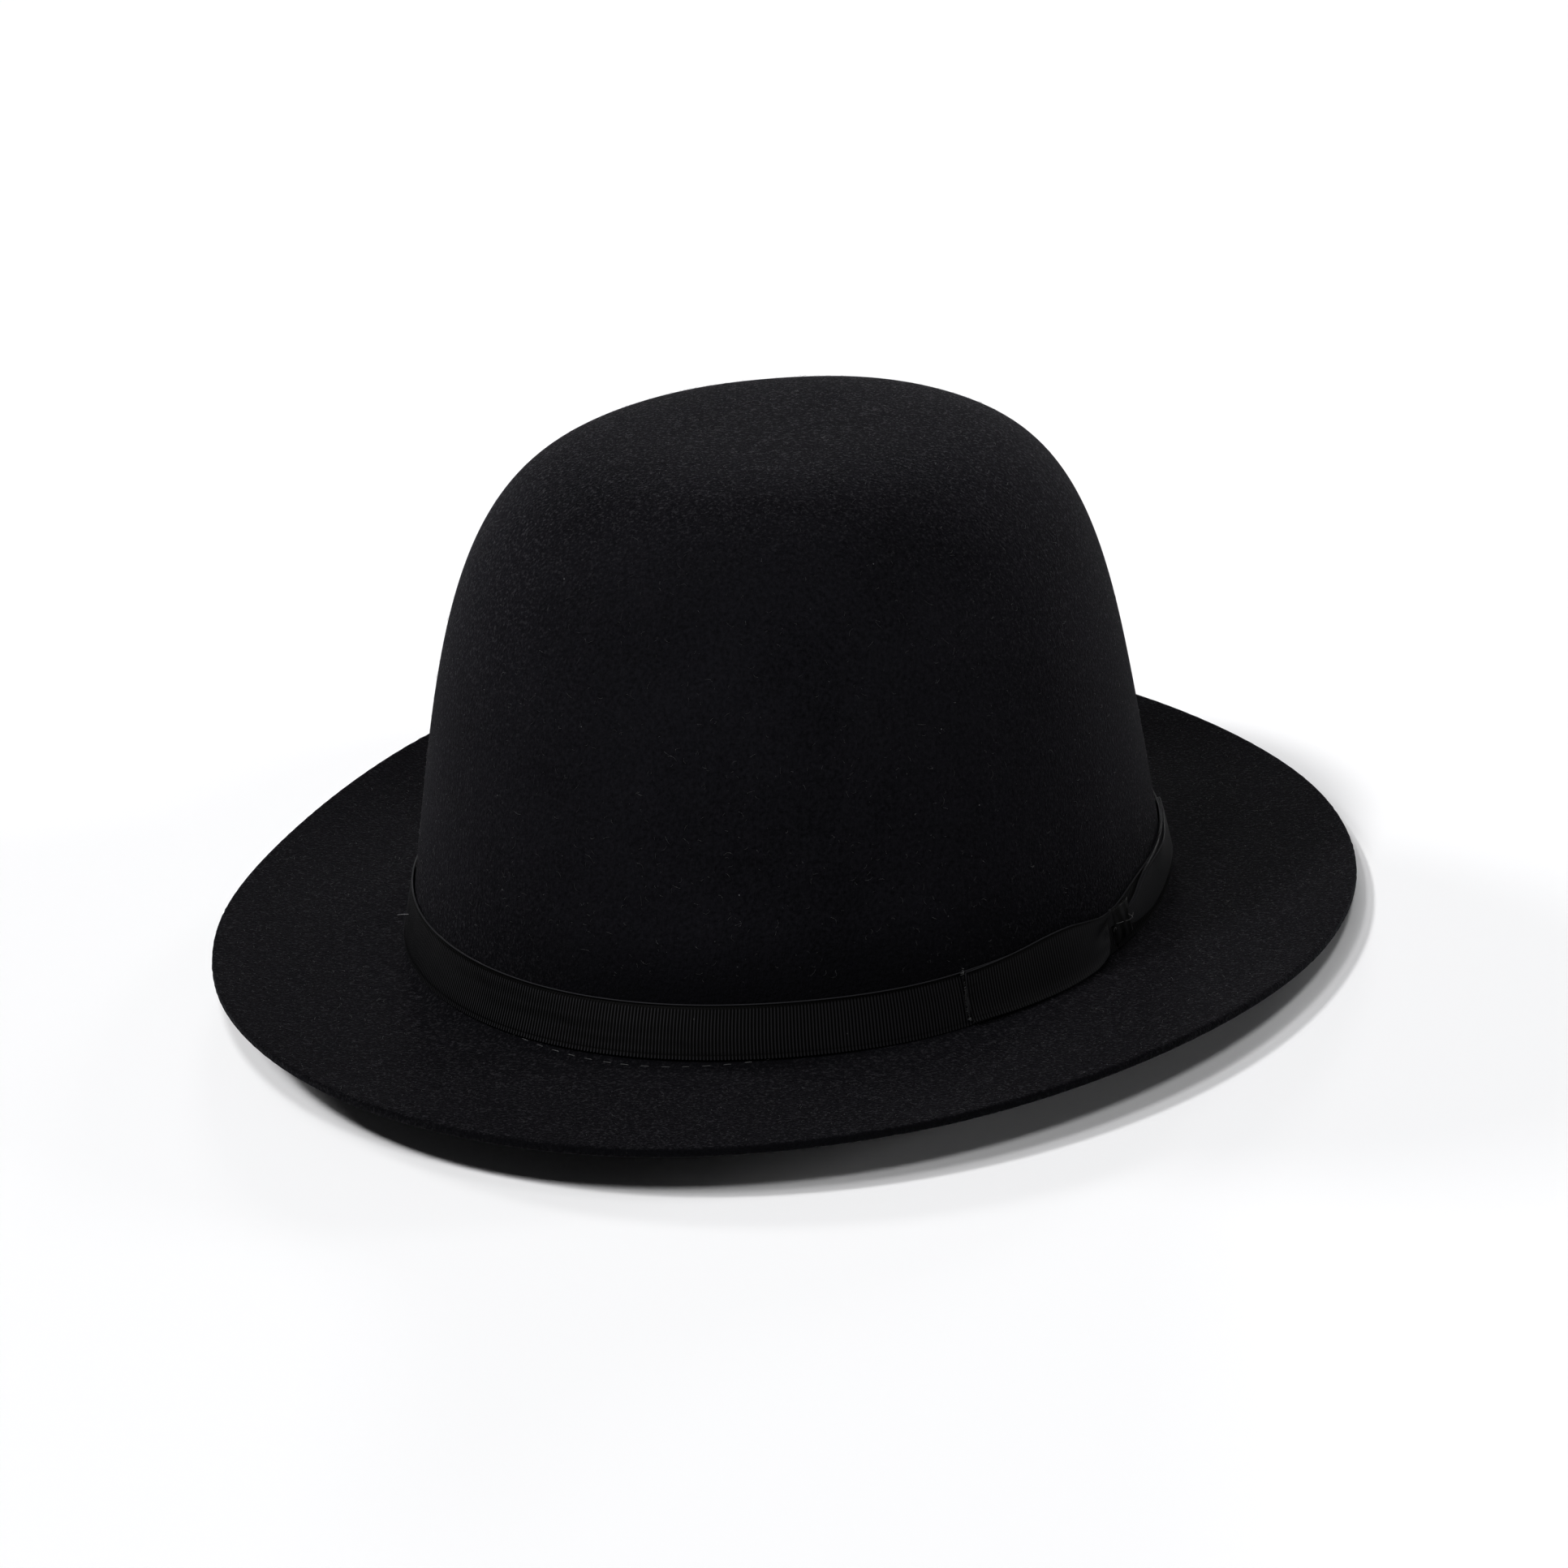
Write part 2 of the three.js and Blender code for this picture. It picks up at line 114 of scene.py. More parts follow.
def quarter_round(share: Floats) -> Floats:
    """Quarter circle that rises from 0 at share 0 to 1 at share 1: sqrt(1 - (1 - share)^2)."""
    return np.sqrt(np.clip(1 - (1 - np.clip(share, 0, 1)) ** 2, 0, 1))


def unit(vectors: Floats) -> Floats:
    """Vectors brought to length 1 along their last axis."""
    return vectors / np.maximum(np.linalg.norm(vectors, axis=-1, keepdims=True), 1e-12)


def turns_of(count: int) -> Floats:
    """Even angles round a circle."""
    return np.arange(count) * TURN / count


def summed(steps: Floats) -> Floats:
    """Sum of the steps so far, from 0."""
    return np.concatenate([[0], np.cumsum(steps)])


def chords(points: Floats) -> Floats:
    """Distance run along a line of points at each of them."""
    return summed(np.linalg.norm(np.diff(points, axis=0), axis=1))


def stacked(*values: Floats) -> Floats:
    """Coordinates brought to one shape and set side by side."""
    return np.stack(np.broadcast_arrays(*values), -1)


def square_to(along: Floats, off: Floats) -> tuple[Floats, Floats]:
    """Direction square to a line on its left, from the line's slopes along its last axis.

    Args:
        along: The line's first coordinate.
        off: Its second coordinate.

    Returns:
        Both coordinates of the direction.
    """
    ahead, rise = np.gradient(along, axis=-1), np.gradient(off, axis=-1)
    size = np.maximum(np.hypot(ahead, rise), 1e-9)
    return -rise / size, ahead / size


def ripple(at: Floats, waves: int, seed: int, low: float, high: float) -> Floats:
    """Smooth seeded noise of about -1 to 1: the mean of sines with whole wave numbers between low and high.

    Args:
        at: Places in turns, so the noise closes at a whole turn.
        waves: How many sines are added.
        seed: Seed of the draw.
        low: Least wave number.
        high: Greatest wave number.

    Returns:
        One value for each place.
    """
    draw = np.random.default_rng(seed)
    total = np.zeros_like(np.asarray(at, dtype=float))
    for _ in range(waves):
        number = round(draw.uniform(low, high))
        total = total + np.sin(TURN * (number * at + draw.uniform()))
    return total / math.sqrt(waves)


def through(at: Floats, stations: Sequence[tuple[float, float]]) -> Floats:
    """Smooth curve through stations: a cubic between each two, whose slopes are those of the neighbours' chord.

    Args:
        at: Places.
        stations: Place and value of each station, in order. Beyond the ends the value stays.

    Returns:
        One value for each place.
    """
    x, y = np.array(stations).T
    slopes = np.gradient(y, x)
    slopes[0] = slopes[-1] = 0.0
    at = np.clip(at, x[0], x[-1])
    k = np.clip(np.searchsorted(x, at, side="right") - 1, 0, len(x) - 2)
    step = x[k + 1] - x[k]
    s = (at - x[k]) / step
    return (
        (2 * s**3 - 3 * s**2 + 1) * y[k] + (s**3 - 2 * s**2 + s) * step * slopes[k]
        + (3 * s**2 - 2 * s**3) * y[k + 1] + (s**3 - s**2) * step * slopes[k + 1]
    )


# Mesh helpers


def quads_of(index: Whole) -> Whole:
    """Four-sided faces between the neighbours of a grid of corner numbers, row by row."""
    return np.stack([index[:-1, :-1], index[:-1, 1:], index[1:, 1:], index[1:, :-1]], -1).reshape(-1, 4)


@dataclass
class Surface:
    """Corners and faces of one mesh, gathered from grids and tubes before Blender gets them.

    Corners are in millimetres in the hat's frame. Each face row holds four corners, and a triangle repeats its last.
    """

    points: list[Floats] = field(default_factory=list)
    quads: list[Whole] = field(default_factory=list)
    places: list[Floats] = field(default_factory=list)
    tones: list[Floats] = field(default_factory=list)
    marks: list[Whole] = field(default_factory=list)
    count: int = 0

    def add(
        self, points: Floats, quads: Whole, places: Floats | None = None, tone: Floats | float = 0.0,
        marks: Whole | None = None,
    ) -> None:
        """Adds corners and faces.

        Args:
            points: Corners, one row each.
            quads: Faces, by corner.
            places: Two surface coordinates for each corner, in millimetres.
            tone: Shade that the corners carry to the material, for all or for each.
            marks: Material of each face, by its place on the object.
        """
        flat = points.reshape(-1, 3)
        self.points.append(flat)
        self.quads.append(quads + self.count)
        self.places.append(np.zeros((len(flat), 2)) if places is None else places.reshape(-1, 2))
        self.tones.append(np.broadcast_to(np.asarray(tone, dtype=float).ravel(), (len(flat),)))
        self.marks.append(np.zeros(len(quads), dtype=np.int64) if marks is None else marks)
        self.count += len(flat)

    def grid(
        self, points: Floats, wrap_rows: bool, wrap_columns: bool, places: Floats | None = None,
        tone: Floats | float = 0.0, marks: Whole | None = None,
    ) -> None:
        """Adds a grid of rows by columns, joined into four-sided faces, that may close on itself either way.

        Args:
            points: Corners, rows by columns.
            wrap_rows: Whether the last row joins the first.
            wrap_columns: Whether the last column joins the first.
            places: Surface coordinates of the corners.
            tone: Shade of the corners.
            marks: Material of each row of faces.
        """
        index = np.arange(points.shape[0] * points.shape[1]).reshape(points.shape[:2])
        index = np.vstack([index, index[:1]]) if wrap_rows else index
        index = np.hstack([index, index[:, :1]]) if wrap_columns else index
        by_face = None if marks is None else np.repeat(marks, index.shape[1] - 1)
        self.add(points, quads_of(index), places, tone, by_face)

    def fan(self, ring: Whole, centre: Floats, place: Floats | None = None) -> None:
        """Closes a ring of corners that are already there with triangles to one new corner in its middle.

        Args:
            ring: Corners of the ring, in order.
            centre: The new corner.
            place: Its surface coordinates.
        """
        middle = np.zeros_like(ring)
        faces = np.stack([ring - self.count, np.roll(ring, -1) - self.count, middle, middle], -1)
        self.add(centre, faces, place)

    def build(self, name: str, materials: Sequence[bpy.types.Material]) -> Piece:
        """Makes the Blender object, in metres, with outward faces, a UV map and a tone attribute.

        Args:
            name: Name of the piece.
            materials: Materials in the order of the faces' marks.

        Returns:
            The object, linked to the scene at the origin.
        """
        points = np.concatenate(self.points) * MM
        quads, marks, places, tones = (np.concatenate(x) for x in (self.quads, self.marks, self.places, self.tones))
        a, b, c, d = (points[quads[:, k]] for k in range(4))
        if (a * np.cross(b, c)).sum() + (a * np.cross(c, d)).sum() < 0:
            quads = quads[:, ::-1]
        last, first = quads[:, 2] == quads[:, 3], quads[:, 0] == quads[:, 1]
        sizes = np.where(last | first, 3, 4)
        keep = np.ones_like(quads, dtype=bool)
        keep[last, 3] = False
        keep[first, 0] = False
        loops = quads[keep]
        mesh = bpy.data.meshes.new(name)
        for part, amount in ((mesh.vertices, points), (mesh.loops, loops), (mesh.polygons, sizes)):
            part.add(len(amount))
        mesh.vertices.foreach_set("co", points.astype(np.float32).ravel())
        mesh.loops.foreach_set("vertex_index", loops.astype(np.int32))
        for key, values in (("loop_start", summed(sizes)[:-1]), ("loop_total", sizes), ("material_index", marks)):
            mesh.polygons.foreach_set(key, values.astype(np.int32))
        mesh.polygons.foreach_set("use_smooth", np.ones(len(sizes), dtype=bool))
        mesh.update(calc_edges=True)
        mesh.uv_layers.new(name="strip").data.foreach_set("uv", places[loops].astype(np.float32).ravel())
        mesh.attributes.new("tone", "FLOAT", "POINT").data.foreach_set("value", tones.astype(np.float32))
        for material in materials:
            mesh.materials.append(material)
        mesh.validate()
        piece = bpy.data.objects.new(name, mesh)
        bpy.context.scene.collection.objects.link(piece)
        return piece


def shell(
    outer: Floats, inner: Floats, wrap: bool, places: Floats | None = None, tones: Floats | None = None
) -> Surface:
    """A thin closed sheet: its outer face, its rims and its inner face, as one grid that closes round its rows.

    Args:
        outer: Outer face, rows by columns.
        inner: Inner face, of fewer or as many rows and the same columns.
        wrap: Whether the columns close round the hat. If not, both ends get a cap.
        places: Surface coordinates of the outer face.
        tones: Shades of the outer face's corners. The inner face gets 0.

    Returns:
        The sheet.
    """
    surface = Surface()
    loop = np.concatenate([outer, inner[::-1]])
    shades = np.zeros(loop.shape[:2])
    if tones is not None:
        shades[: len(outer)] = tones
    spread = None
    if places is not None:
        picks = np.linspace(0, len(outer) - 1, len(inner)).round().astype(int)
        spread = np.concatenate([places, places[picks][::-1]])
    surface.grid(loop, True, wrap, spread, shades)
    if not wrap:
        rows, columns = loop.shape[:2]
        first = np.arange(rows) * columns
        for ring in (first[::-1], first + columns - 1):
            surface.fan(ring, np.concatenate(surface.points)[ring].mean(0))
    return surface


def tube(
    surface: Surface, path: Floats, radius: Floats | float, above: Floats, sides: int, closed: bool, tone: float = 0.0
) -> None:
    """Adds a round tube along a path: each ring is centre + radius (above cos a + aside sin a).

    Args:
        surface: Surface that gets the tube.
        path: Centres of the rings.
        radius: Radius, for all rings or for each.
        above: Direction across the path, for each ring.
        sides: Corners of a ring.
        closed: Whether the path ends where it starts. If not, both ends are closed to a point.
        tone: Shade that the tube carries to its material.
    """
    ahead = np.roll(path, -1, 0) - np.roll(path, 1, 0)
    if not closed:
        ahead[0], ahead[-1] = path[1] - path[0], path[-1] - path[-2]
    tangent = unit(ahead)
    aside = unit(np.cross(tangent, above))
    upright = np.cross(aside, tangent)
    angle = turns_of(sides)
    thick = np.broadcast_to(np.asarray(radius, dtype=float), (len(path),))[:, None, None]
    rings = path[:, None] + thick * (
        upright[:, None] * np.cos(angle)[None, :, None] + aside[:, None] * np.sin(angle)[None, :, None]
    )
    start = surface.count
    surface.grid(rings, closed, True, stacked(chords(path)[:, None], (angle / TURN)[None]), tone)
    if not closed:
        ring = start + np.arange(sides)
        surface.fan(ring[::-1], path[0] - tangent[0] * thick[0, 0, 0] * 0.5)
        surface.fan(ring + (len(path) - 1) * sides, path[-1] + tangent[-1] * thick[-1, 0, 0] * 0.5)


def many_tubes(surface: Surface, paths: Floats, radius: Floats, above: Floats, sides: int, tones: Floats) -> None:
    """Adds many open tubes of one make at once.

    Args:
        surface: Surface that gets the tubes.
        paths: Tubes by rings by three.
        radius: Radius, tubes by rings. The last ring may be a point.
        above: Direction across each tube.
        sides: Corners of a ring.
        tones: Shade of each tube.
    """
    tangent = unit(np.gradient(paths, axis=1))
    aside = unit(np.cross(tangent, above[:, None]))
    upright = np.cross(aside, tangent)
    angle = turns_of(sides)
    rings = paths[:, :, None] + radius[:, :, None, None] * (
        upright[:, :, None] * np.cos(angle)[:, None] + aside[:, :, None] * np.sin(angle)[:, None]
    )
    amount, length = paths.shape[:2]
    index = np.arange(length * sides).reshape(length, sides)
    caps = [
        [order[0], order[k], order[k + 1], order[k + 1]]
        for order in (index[0, ::-1], index[-1]) for k in range(1, sides - 1)
    ]
    pattern = np.concatenate([quads_of(np.hstack([index, index[:, :1]])), np.array(caps)])
    quads = (pattern[None] + (np.arange(amount) * length * sides)[:, None, None]).reshape(-1, 4)
    surface.add(rings, quads, tone=np.repeat(tones, length * sides))


# The hat's form


@dataclass(frozen=True)
class HatForm:
    """The felt's outer face, in millimetres: a height and an offset from the crown's oval at each zone and angle.

    Zones run down the section: 0 the pole, 1 the shoulder, 2 the start of the break, 3 its end, 4 the end of the
    flat ring that the hat rests on, 5 the brim's edge. Angles run round from the wearer's left by the back.
    """

    crown_length: float = 208.0
    crown_width: float = 175.4
    crown_height: float = 114.3
    felt: float = 1.8
    break_ends: float = 8.0
    break_sides: float = 2.5
    rest_ring: float = 6.0
    brim_front: float = 50.0
    brim_back: float = 48.0
    brim_side: float = 44.4
    cut_rounding: float = 0.4
    wave: float = 15.0
    wave_shares: tuple[float, ...] = (0.2, 0.13, 0.24, 0.64, 0.99, 0.7, 0.21, 0.15, 0.16, 0.07, 0.19, 0.3)
    curve_share: float = 1.6
    taper_share: float = 0.194
    power_front: float = 4.0
    power_back: float = 6.3
    power_top: float = 4.5
    wall_share: float = 0.8
    fit: float = 0.35
    centre: tuple[float, float, float] = (0.0044, 0.7606, 1.8)

    def lift(self, phi: Floats) -> Floats:
        """Height of the brim's edge over the break: a periodic cubic through the stations.

        Args:
            phi: Angle.

        Returns:
            Height, in millimetres.
        """
        shares = np.array(self.wave_shares)
        count = len(shares)
        place = (phi / TURN % 1.0) * count
        station = np.floor(place).astype(int)
        f = place - station
        a, b, c, d = (shares[(station + k) % count] for k in (-1, 0, 1, 2))
        return (b + (f / 2) * (c - a + f * (2 * a - 5 * b + 4 * c - d + f * (3 * (b - c) + d - a)))) * self.wave

    def brim_width(self, phi: Floats) -> Floats:
        """Width of the brim, square to the crown's oval."""
        end = np.where(np.sin(phi) > 0, self.brim_back, self.brim_front)
        return mix(self.brim_side, end, np.sin(phi) ** 2)

    def break_radius(self, phi: Floats) -> Floats:
        """Radius of the bend between crown and brim."""
        return mix(self.break_sides, self.break_ends, np.sin(phi) ** 2)

    def rounded(self, share: Floats, power: Floats) -> Floats:
        """Share of the oval that is left at a share of the height: (1 - share^power)^(1 / top power)."""
        return np.clip(1 - np.clip(share, 0, 1) ** power, 0, 1) ** (1 / self.power_top)

    def section(self, zone: Floats, phi: Floats) -> tuple[Floats, Floats, Floats]:
        """Section of the felt at each zone and angle.

        Down the dome the oval's share rises by the sine-spaced zone and the height falls as
        (1 - reach^top)^(1 / power). The wall runs straight down in height, the bend is a quarter circle, and the brim
        rises with a power of the way out.

        Args:
            zone: Zones.
            phi: Angles.

        Returns:
            Height, share of the oval, and offset outside it.
        """
        zone, phi = matched(zone, phi)
        power = mix(self.power_front, self.power_back, (1 + np.sin(phi)) / 2)
        radius = self.break_radius(phi)
        height = self.crown_height
        dome_reach = np.clip(zone, 0, 1) * self.rounded(np.full_like(zone, self.wall_share), power)
        dome = np.clip(1 - dome_reach**self.power_top, 0, 1) ** (1 / power)
        wall = mix(self.wall_share, radius / height, np.clip(zone - 1, 0, 1))
        angle = np.clip(zone - 2, 0, 1) * QUARTER
        bend = radius * (1 - np.sin(angle))
        outward = np.clip(zone - 4, 0, 1)
        masks = [zone <= 1, zone <= 2, zone <= 3, zone <= 4]
        z = np.select(masks, [dome * height, wall * height, bend, 0 * zone], self.lift(phi) * outward**self.curve_share)
        reach = np.select(
            masks[:3], [dome_reach, self.rounded(wall, power), self.rounded(bend / height, power)], 1.0
        )
        rim = mix(radius + self.rest_ring, self.brim_width(phi) - self.cut_rounding, outward)
        out = np.select(
            masks, [0 * zone, 0 * zone, radius * (1 - np.cos(angle)), radius + self.rest_ring * (zone - 3)], rim
        )
        return z, reach, out

    def outer(self, zone: Floats | float, phi: Floats | float) -> Floats:
        """Point of the outer face: the oval drawn in by reach and taper, then moved out square to the oval.

        Args:
            zone: Zones.
            phi: Angles.

        Returns:
            Points, in millimetres.
        """
        zone, phi = matched(zone, phi)
        z, reach, out = self.section(zone, phi)
        scale = np.where(zone <= 3, reach * (1 - self.taper_share * z / self.crown_height), 1.0)
        a, b = self.crown_width / 2, self.crown_length / 2
        cos, sin = np.cos(phi), np.sin(phi)
        side = unit(np.stack([b * cos, a * sin], -1))
        x = scale * a * cos + side[..., 0] * out + self.centre[0]
        y = scale * b * sin + side[..., 1] * out + self.centre[1]
        return np.stack([x, y, z + self.centre[2]], -1)

    def frame(self, zone: Floats | float, phi: Floats | float) -> tuple[Floats, Floats, Floats]:
        """The outer face with its directions: the normal is the cross product of both slopes.

        Args:
            zone: Zones.
            phi: Angles.

        Returns:
            Point, outward normal and downward direction.
        """
        zone, phi = matched(zone, phi)
        down = unit(self.outer(np.clip(zone + NUDGE, 0, 5), phi) - self.outer(np.clip(zone - NUDGE, 0, 5), phi))
        around = self.outer(zone, phi + NUDGE) - self.outer(zone, phi - NUDGE)
        normal = unit(np.cross(down, around))
        normal = np.where((zone < 1e-4)[..., None], UP, normal)
        return self.outer(zone, phi), normal, down

    def under(self, zone: Floats | float, phi: Floats | float, depth: Floats | float) -> Floats:
        """Point at a depth under the outer face, along the normal."""
        point, normal, _ = self.frame(zone, phi)
        return point - normal * np.asarray(depth)[..., None]

    def zone_at(self, height: Floats | float, phi: Floats) -> Floats:
        """Zone of the wall or bend at a height over the break.

        Args:
            height: Height, in millimetres.
            phi: Angle.

        Returns:
            The zone.
        """
        radius = self.break_radius(phi)
        bend = 2 + np.arcsin(np.clip(1 - height / radius, -1, 1)) / QUARTER
        share = (height / self.crown_height - self.wall_share) / (radius / self.crown_height - self.wall_share)
        return np.where(height < radius, bend, 1 + share)

    def zone_out(self, out: Floats, phi: Floats) -> Floats:
        """Zone of the bend or rest ring at an offset outside the crown's oval.

        Args:
            out: Offset, in millimetres.
            phi: Angle.

        Returns:
            The zone.
        """
        radius = self.break_radius(phi)
        bend = 2 + np.arccos(np.clip(1 - out / radius, 0, 1)) / QUARTER
        return np.where(out < radius, bend, 3 + (out - radius) / self.rest_ring)


def angles_along(curve: Callable[[Floats], Floats], middle: float, distances: Floats, side: Side) -> Floats:
    """Angles at which a curve round the hat has run given distances, by its summed chords.

    Args:
        curve: Turns angles into points.
        middle: Angle at which the distances start.
        distances: Distances in millimetres, which may be negative.
        side: Way that counts as positive.

    Returns:
        One angle for each distance.
    """
    fine = np.linspace(-1.2, TURN + 1.2, 4001) * side.value + middle
    points = curve(fine)
    run = chords(points)
    zero = np.interp(0.0, (fine - middle) * side.value, run)
    return np.interp(distances + zero, run, fine)


# Shader helpers

Socket = bpy.types.NodeSocket
Shade = tuple[float, float, float, float]


def shade(red: float, green: float, blue: float) -> Shade:
    """Opaque colour."""
    return (red, green, blue, 1.0)


def darker(colour: Shade, share: float) -> Shade:
    """Colour brought down to a share of its light."""
    return shade(*(share * c for c in colour[:3]))


BLACK = shade(0.0, 0.0, 0.0)


@dataclass
class Sheet:
    """A node tree that is being written, with short calls for its nodes."""

    tree: bpy.types.NodeTree

    def node(self, kind: str, inputs: dict[str | int, object] | None = None, **settings: object) -> bpy.types.Node:
        """Adds a node, sets it, and joins or fills its inputs.

        Args:
            kind: Blender's name of the node, after "ShaderNode".
            inputs: Sockets or values by input name or number.
            **settings: Attributes of the node.

        Returns:
            The node.
        """
        made = self.tree.nodes.new("ShaderNode" + kind)
        for key, value in settings.items():
            setattr(made, key, value)
        for key, value in (inputs or {}).items():
            self.join(made.inputs[key], value)
        return made

    def join(self, socket: Socket, value: object) -> None:
        """Joins a socket to another, or fills it with a value.

        Args:
            socket: Input.
            value: Socket or plain value.
        """
        if isinstance(value, Socket):
            self.tree.links.new(value, socket)
        else:
            socket.default_value = value

    def math(self, operation: str, *values: object, clamp: bool = False) -> Socket:
        """Result of a Math node.

        Args:
            operation: Blender's name of the operation.
            *values: Sockets or numbers, in order.
            clamp: Whether the result is kept between 0 and 1.

        Returns:
            The result.
        """
        return self.node("Math", dict(enumerate(values)), operation=operation, use_clamp=clamp).outputs[0]

    def times(self, first: object, second: object, clamp: bool = False) -> Socket:
        """Product of two values."""
        return self.math("MULTIPLY", first, second, clamp=clamp)

    def sum_of(self, first: object, share: object, second: object, rest: object) -> Socket:
        """First by its share plus second by the rest."""
        return self.math("MULTIPLY_ADD", first, share, self.times(second, rest))

    def ramp(self, value: object, low: float, high: float, first: float = 0.0, last: float = 1.0) -> Socket:
        """Value carried from one range into another.

        Args:
            value: Socket with the value.
            low: Value that becomes first.
            high: Value that becomes last.
            first: Result up to low.
            last: Result from high on.

        Returns:
            The result.
        """
        inputs = {"Value": value, "From Min": low, "From Max": high, "To Min": first, "To Max": last}
        return self.node("MapRange", inputs, clamp=True).outputs["Result"]

    def blend(self, share: object, first: object, second: object) -> Socket:
        """Colour between two.

        Args:
            share: Share of the second colour.
            first: Colour at share 0.
            second: Colour at share 1.

        Returns:
            The colour.
        """
        made = self.node("Mix", data_type="RGBA")
        self.join(made.inputs["Factor"], share)
        for socket, value in zip((s for s in made.inputs if s.type == "RGBA"), (first, second)):
            self.join(socket, value)
        return next(s for s in made.outputs if s.type == "RGBA")

    def noise(self, vector: object, scale: object, detail: float = 2.0, rough: float = 0.5) -> Socket:
        """Value of a noise texture."""
        inputs = {"Vector": vector, "Scale": scale, "Detail": detail, "Roughness": rough}
        return self.node("TexNoise", inputs).outputs[0]

    def cells(self, vector: object, scale: object, feature: str = "F1") -> bpy.types.bpy_prop_collection:
        """Outputs of a cell texture."""
        return self.node("TexVoronoi", {"Vector": vector, "Scale": scale}, feature=feature).outputs

    def stretched(self, vector: object, scale: tuple[float, float, float]) -> Socket:
        """Vector scaled by its axes."""
        return self.node("Mapping", {"Vector": vector, "Scale": scale}).outputs[0]


Sockets = dict[str, Socket]
Effects = dict[str, bpy.types.NodeTree]


def group(
    name: str, inputs: dict[str, float | Shade | None], write: Callable[[Sheet, Sockets], Sockets]
) -> bpy.types.NodeTree:
    """Makes a shader node group.

    Args:
        name: Name of the group.
        inputs: First value by input name: a number, a colour, or None for a vector.
        write: Writes the nodes from the group's inputs and gives the results by output name.

    Returns:
        The group.
    """
    tree = bpy.data.node_groups.new(name, "ShaderNodeTree")
    for key, value in inputs.items():
        kind = "Vector" if value is None else "Color" if isinstance(value, tuple) else "Float"
        socket = tree.interface.new_socket(key, in_out="INPUT", socket_type="NodeSocket" + kind)
        if value is not None:
            socket.default_value = value
    source = tree.nodes.new("NodeGroupInput")
    results = write(Sheet(tree), {key: source.outputs[key] for key in inputs})
    sink = tree.nodes.new("NodeGroupOutput")
    for key, result in results.items():
        kind = "Color" if result.type == "RGBA" else "Float"
        tree.interface.new_socket(key, in_out="OUTPUT", socket_type="NodeSocket" + kind)
        tree.links.new(result, sink.inputs[key])
    return tree


def write_mottle(sheet: Sheet, given: Sockets) -> Sockets:
    """Two dyes mixed by broad clouds and by fine flecks, with a height for the flecks.

    Args:
        sheet: Sheet of the group.
        given: The group's inputs.

    Returns:
        The group's outputs.
    """
    cloud = sheet.noise(given["Vector"], given["Cloud Scale"], 3.0, 0.55)
    fleck = sheet.noise(given["Vector"], given["Fleck Scale"], 3.0, 0.65)
    broad, fine = sheet.ramp(cloud, 0.3, 0.7), sheet.ramp(fleck, 0.3, 0.7)
    rest = sheet.math("SUBTRACT", 1.0, given["Fleck Share"])
    share = sheet.math("ADD", sheet.times(fine, given["Fleck Share"]), sheet.times(broad, rest))
    return {"Color": sheet.blend(share, given["Dark"], given["Light"]), "Height": fleck, "Share": share}


def write_lint(sheet: Sheet, given: Sockets) -> Sockets:
    """Pale specks of dust: round spots in a few cells of a cell pattern, of uneven strength.

    Args:
        sheet: Sheet of the group.
        given: The group's inputs.

    Returns:
        The group's outputs.
    """
    cells = sheet.cells(given["Vector"], given["Cell Scale"])
    pick = sheet.node("SeparateColor", {"Color": cells["Color"]}).outputs[0]
    near = sheet.math("SUBTRACT", 1.0, sheet.math("DIVIDE", cells["Distance"], given["Spot Size"]))
    span = sheet.math("SUBTRACT", 1.0, given["Rarity"])
    chosen = sheet.math("DIVIDE", sheet.math("SUBTRACT", pick, given["Rarity"]), span, clamp=True)
    mask = sheet.times(sheet.ramp(near, 0.0, 0.35), sheet.math("POWER", chosen, 1.6), clamp=True)
    return {"Color": sheet.blend(mask, given["Color"], given["Dust"])}


def write_weave(sheet: Sheet, given: Sockets) -> Sockets:
    """Fine threads that cross: the product of two rounded waves along the two surface coordinates.

    Args:
        sheet: Sheet of the group.
        given: The group's inputs.

    Returns:
        The group's outputs.
    """
    axes = sheet.node("SeparateXYZ", {"Vector": given["Vector"]}).outputs
    wander = sheet.noise(given["Vector"], 0.7)
    drift = sheet.times(sheet.math("SUBTRACT", wander, 0.5), given["Unevenness"])
    waves = []
    for axis, pitch in (("X", given["Along"]), ("Y", given["Across"])):
        phase = sheet.math("ADD", sheet.times(axes[axis], pitch), drift)
        waves.append(sheet.math("SINE", sheet.times(phase, TURN)))
    height = sheet.math("MULTIPLY_ADD", sheet.times(*waves), 0.5, 0.5)
    return {"Color": sheet.blend(sheet.ramp(height, 0.1, 0.5), given["Gap"], given["Color"]), "Height": height}


def write_grain(sheet: Sheet, given: Sockets) -> Sockets:
    """Leather grain: cells with sunk borders, pores, and soft creases along one way.

    Args:
        sheet: Sheet of the group.
        given: The group's inputs.

    Returns:
        The group's outputs.
    """
    border = sheet.ramp(sheet.cells(given["Vector"], given["Cell Scale"], "DISTANCE_TO_EDGE")["Distance"], 0.0, 0.09)
    pore = sheet.ramp(sheet.cells(given["Vector"], 2600.0)["Distance"], 0.05, 0.3)
    wear = sheet.noise(given["Vector"], 55.0, 4.0, 0.6)
    worn = sheet.times(sheet.ramp(wear, 0.45, 0.75), border)
    return {
        "Color": sheet.blend(worn, given["Color"], given["Worn"]),
        "Height": sheet.sum_of(pore, 0.3, border, 0.7),
        "Roughness": sheet.ramp(wear, 0.3, 0.7, 0.42, 0.6),
    }


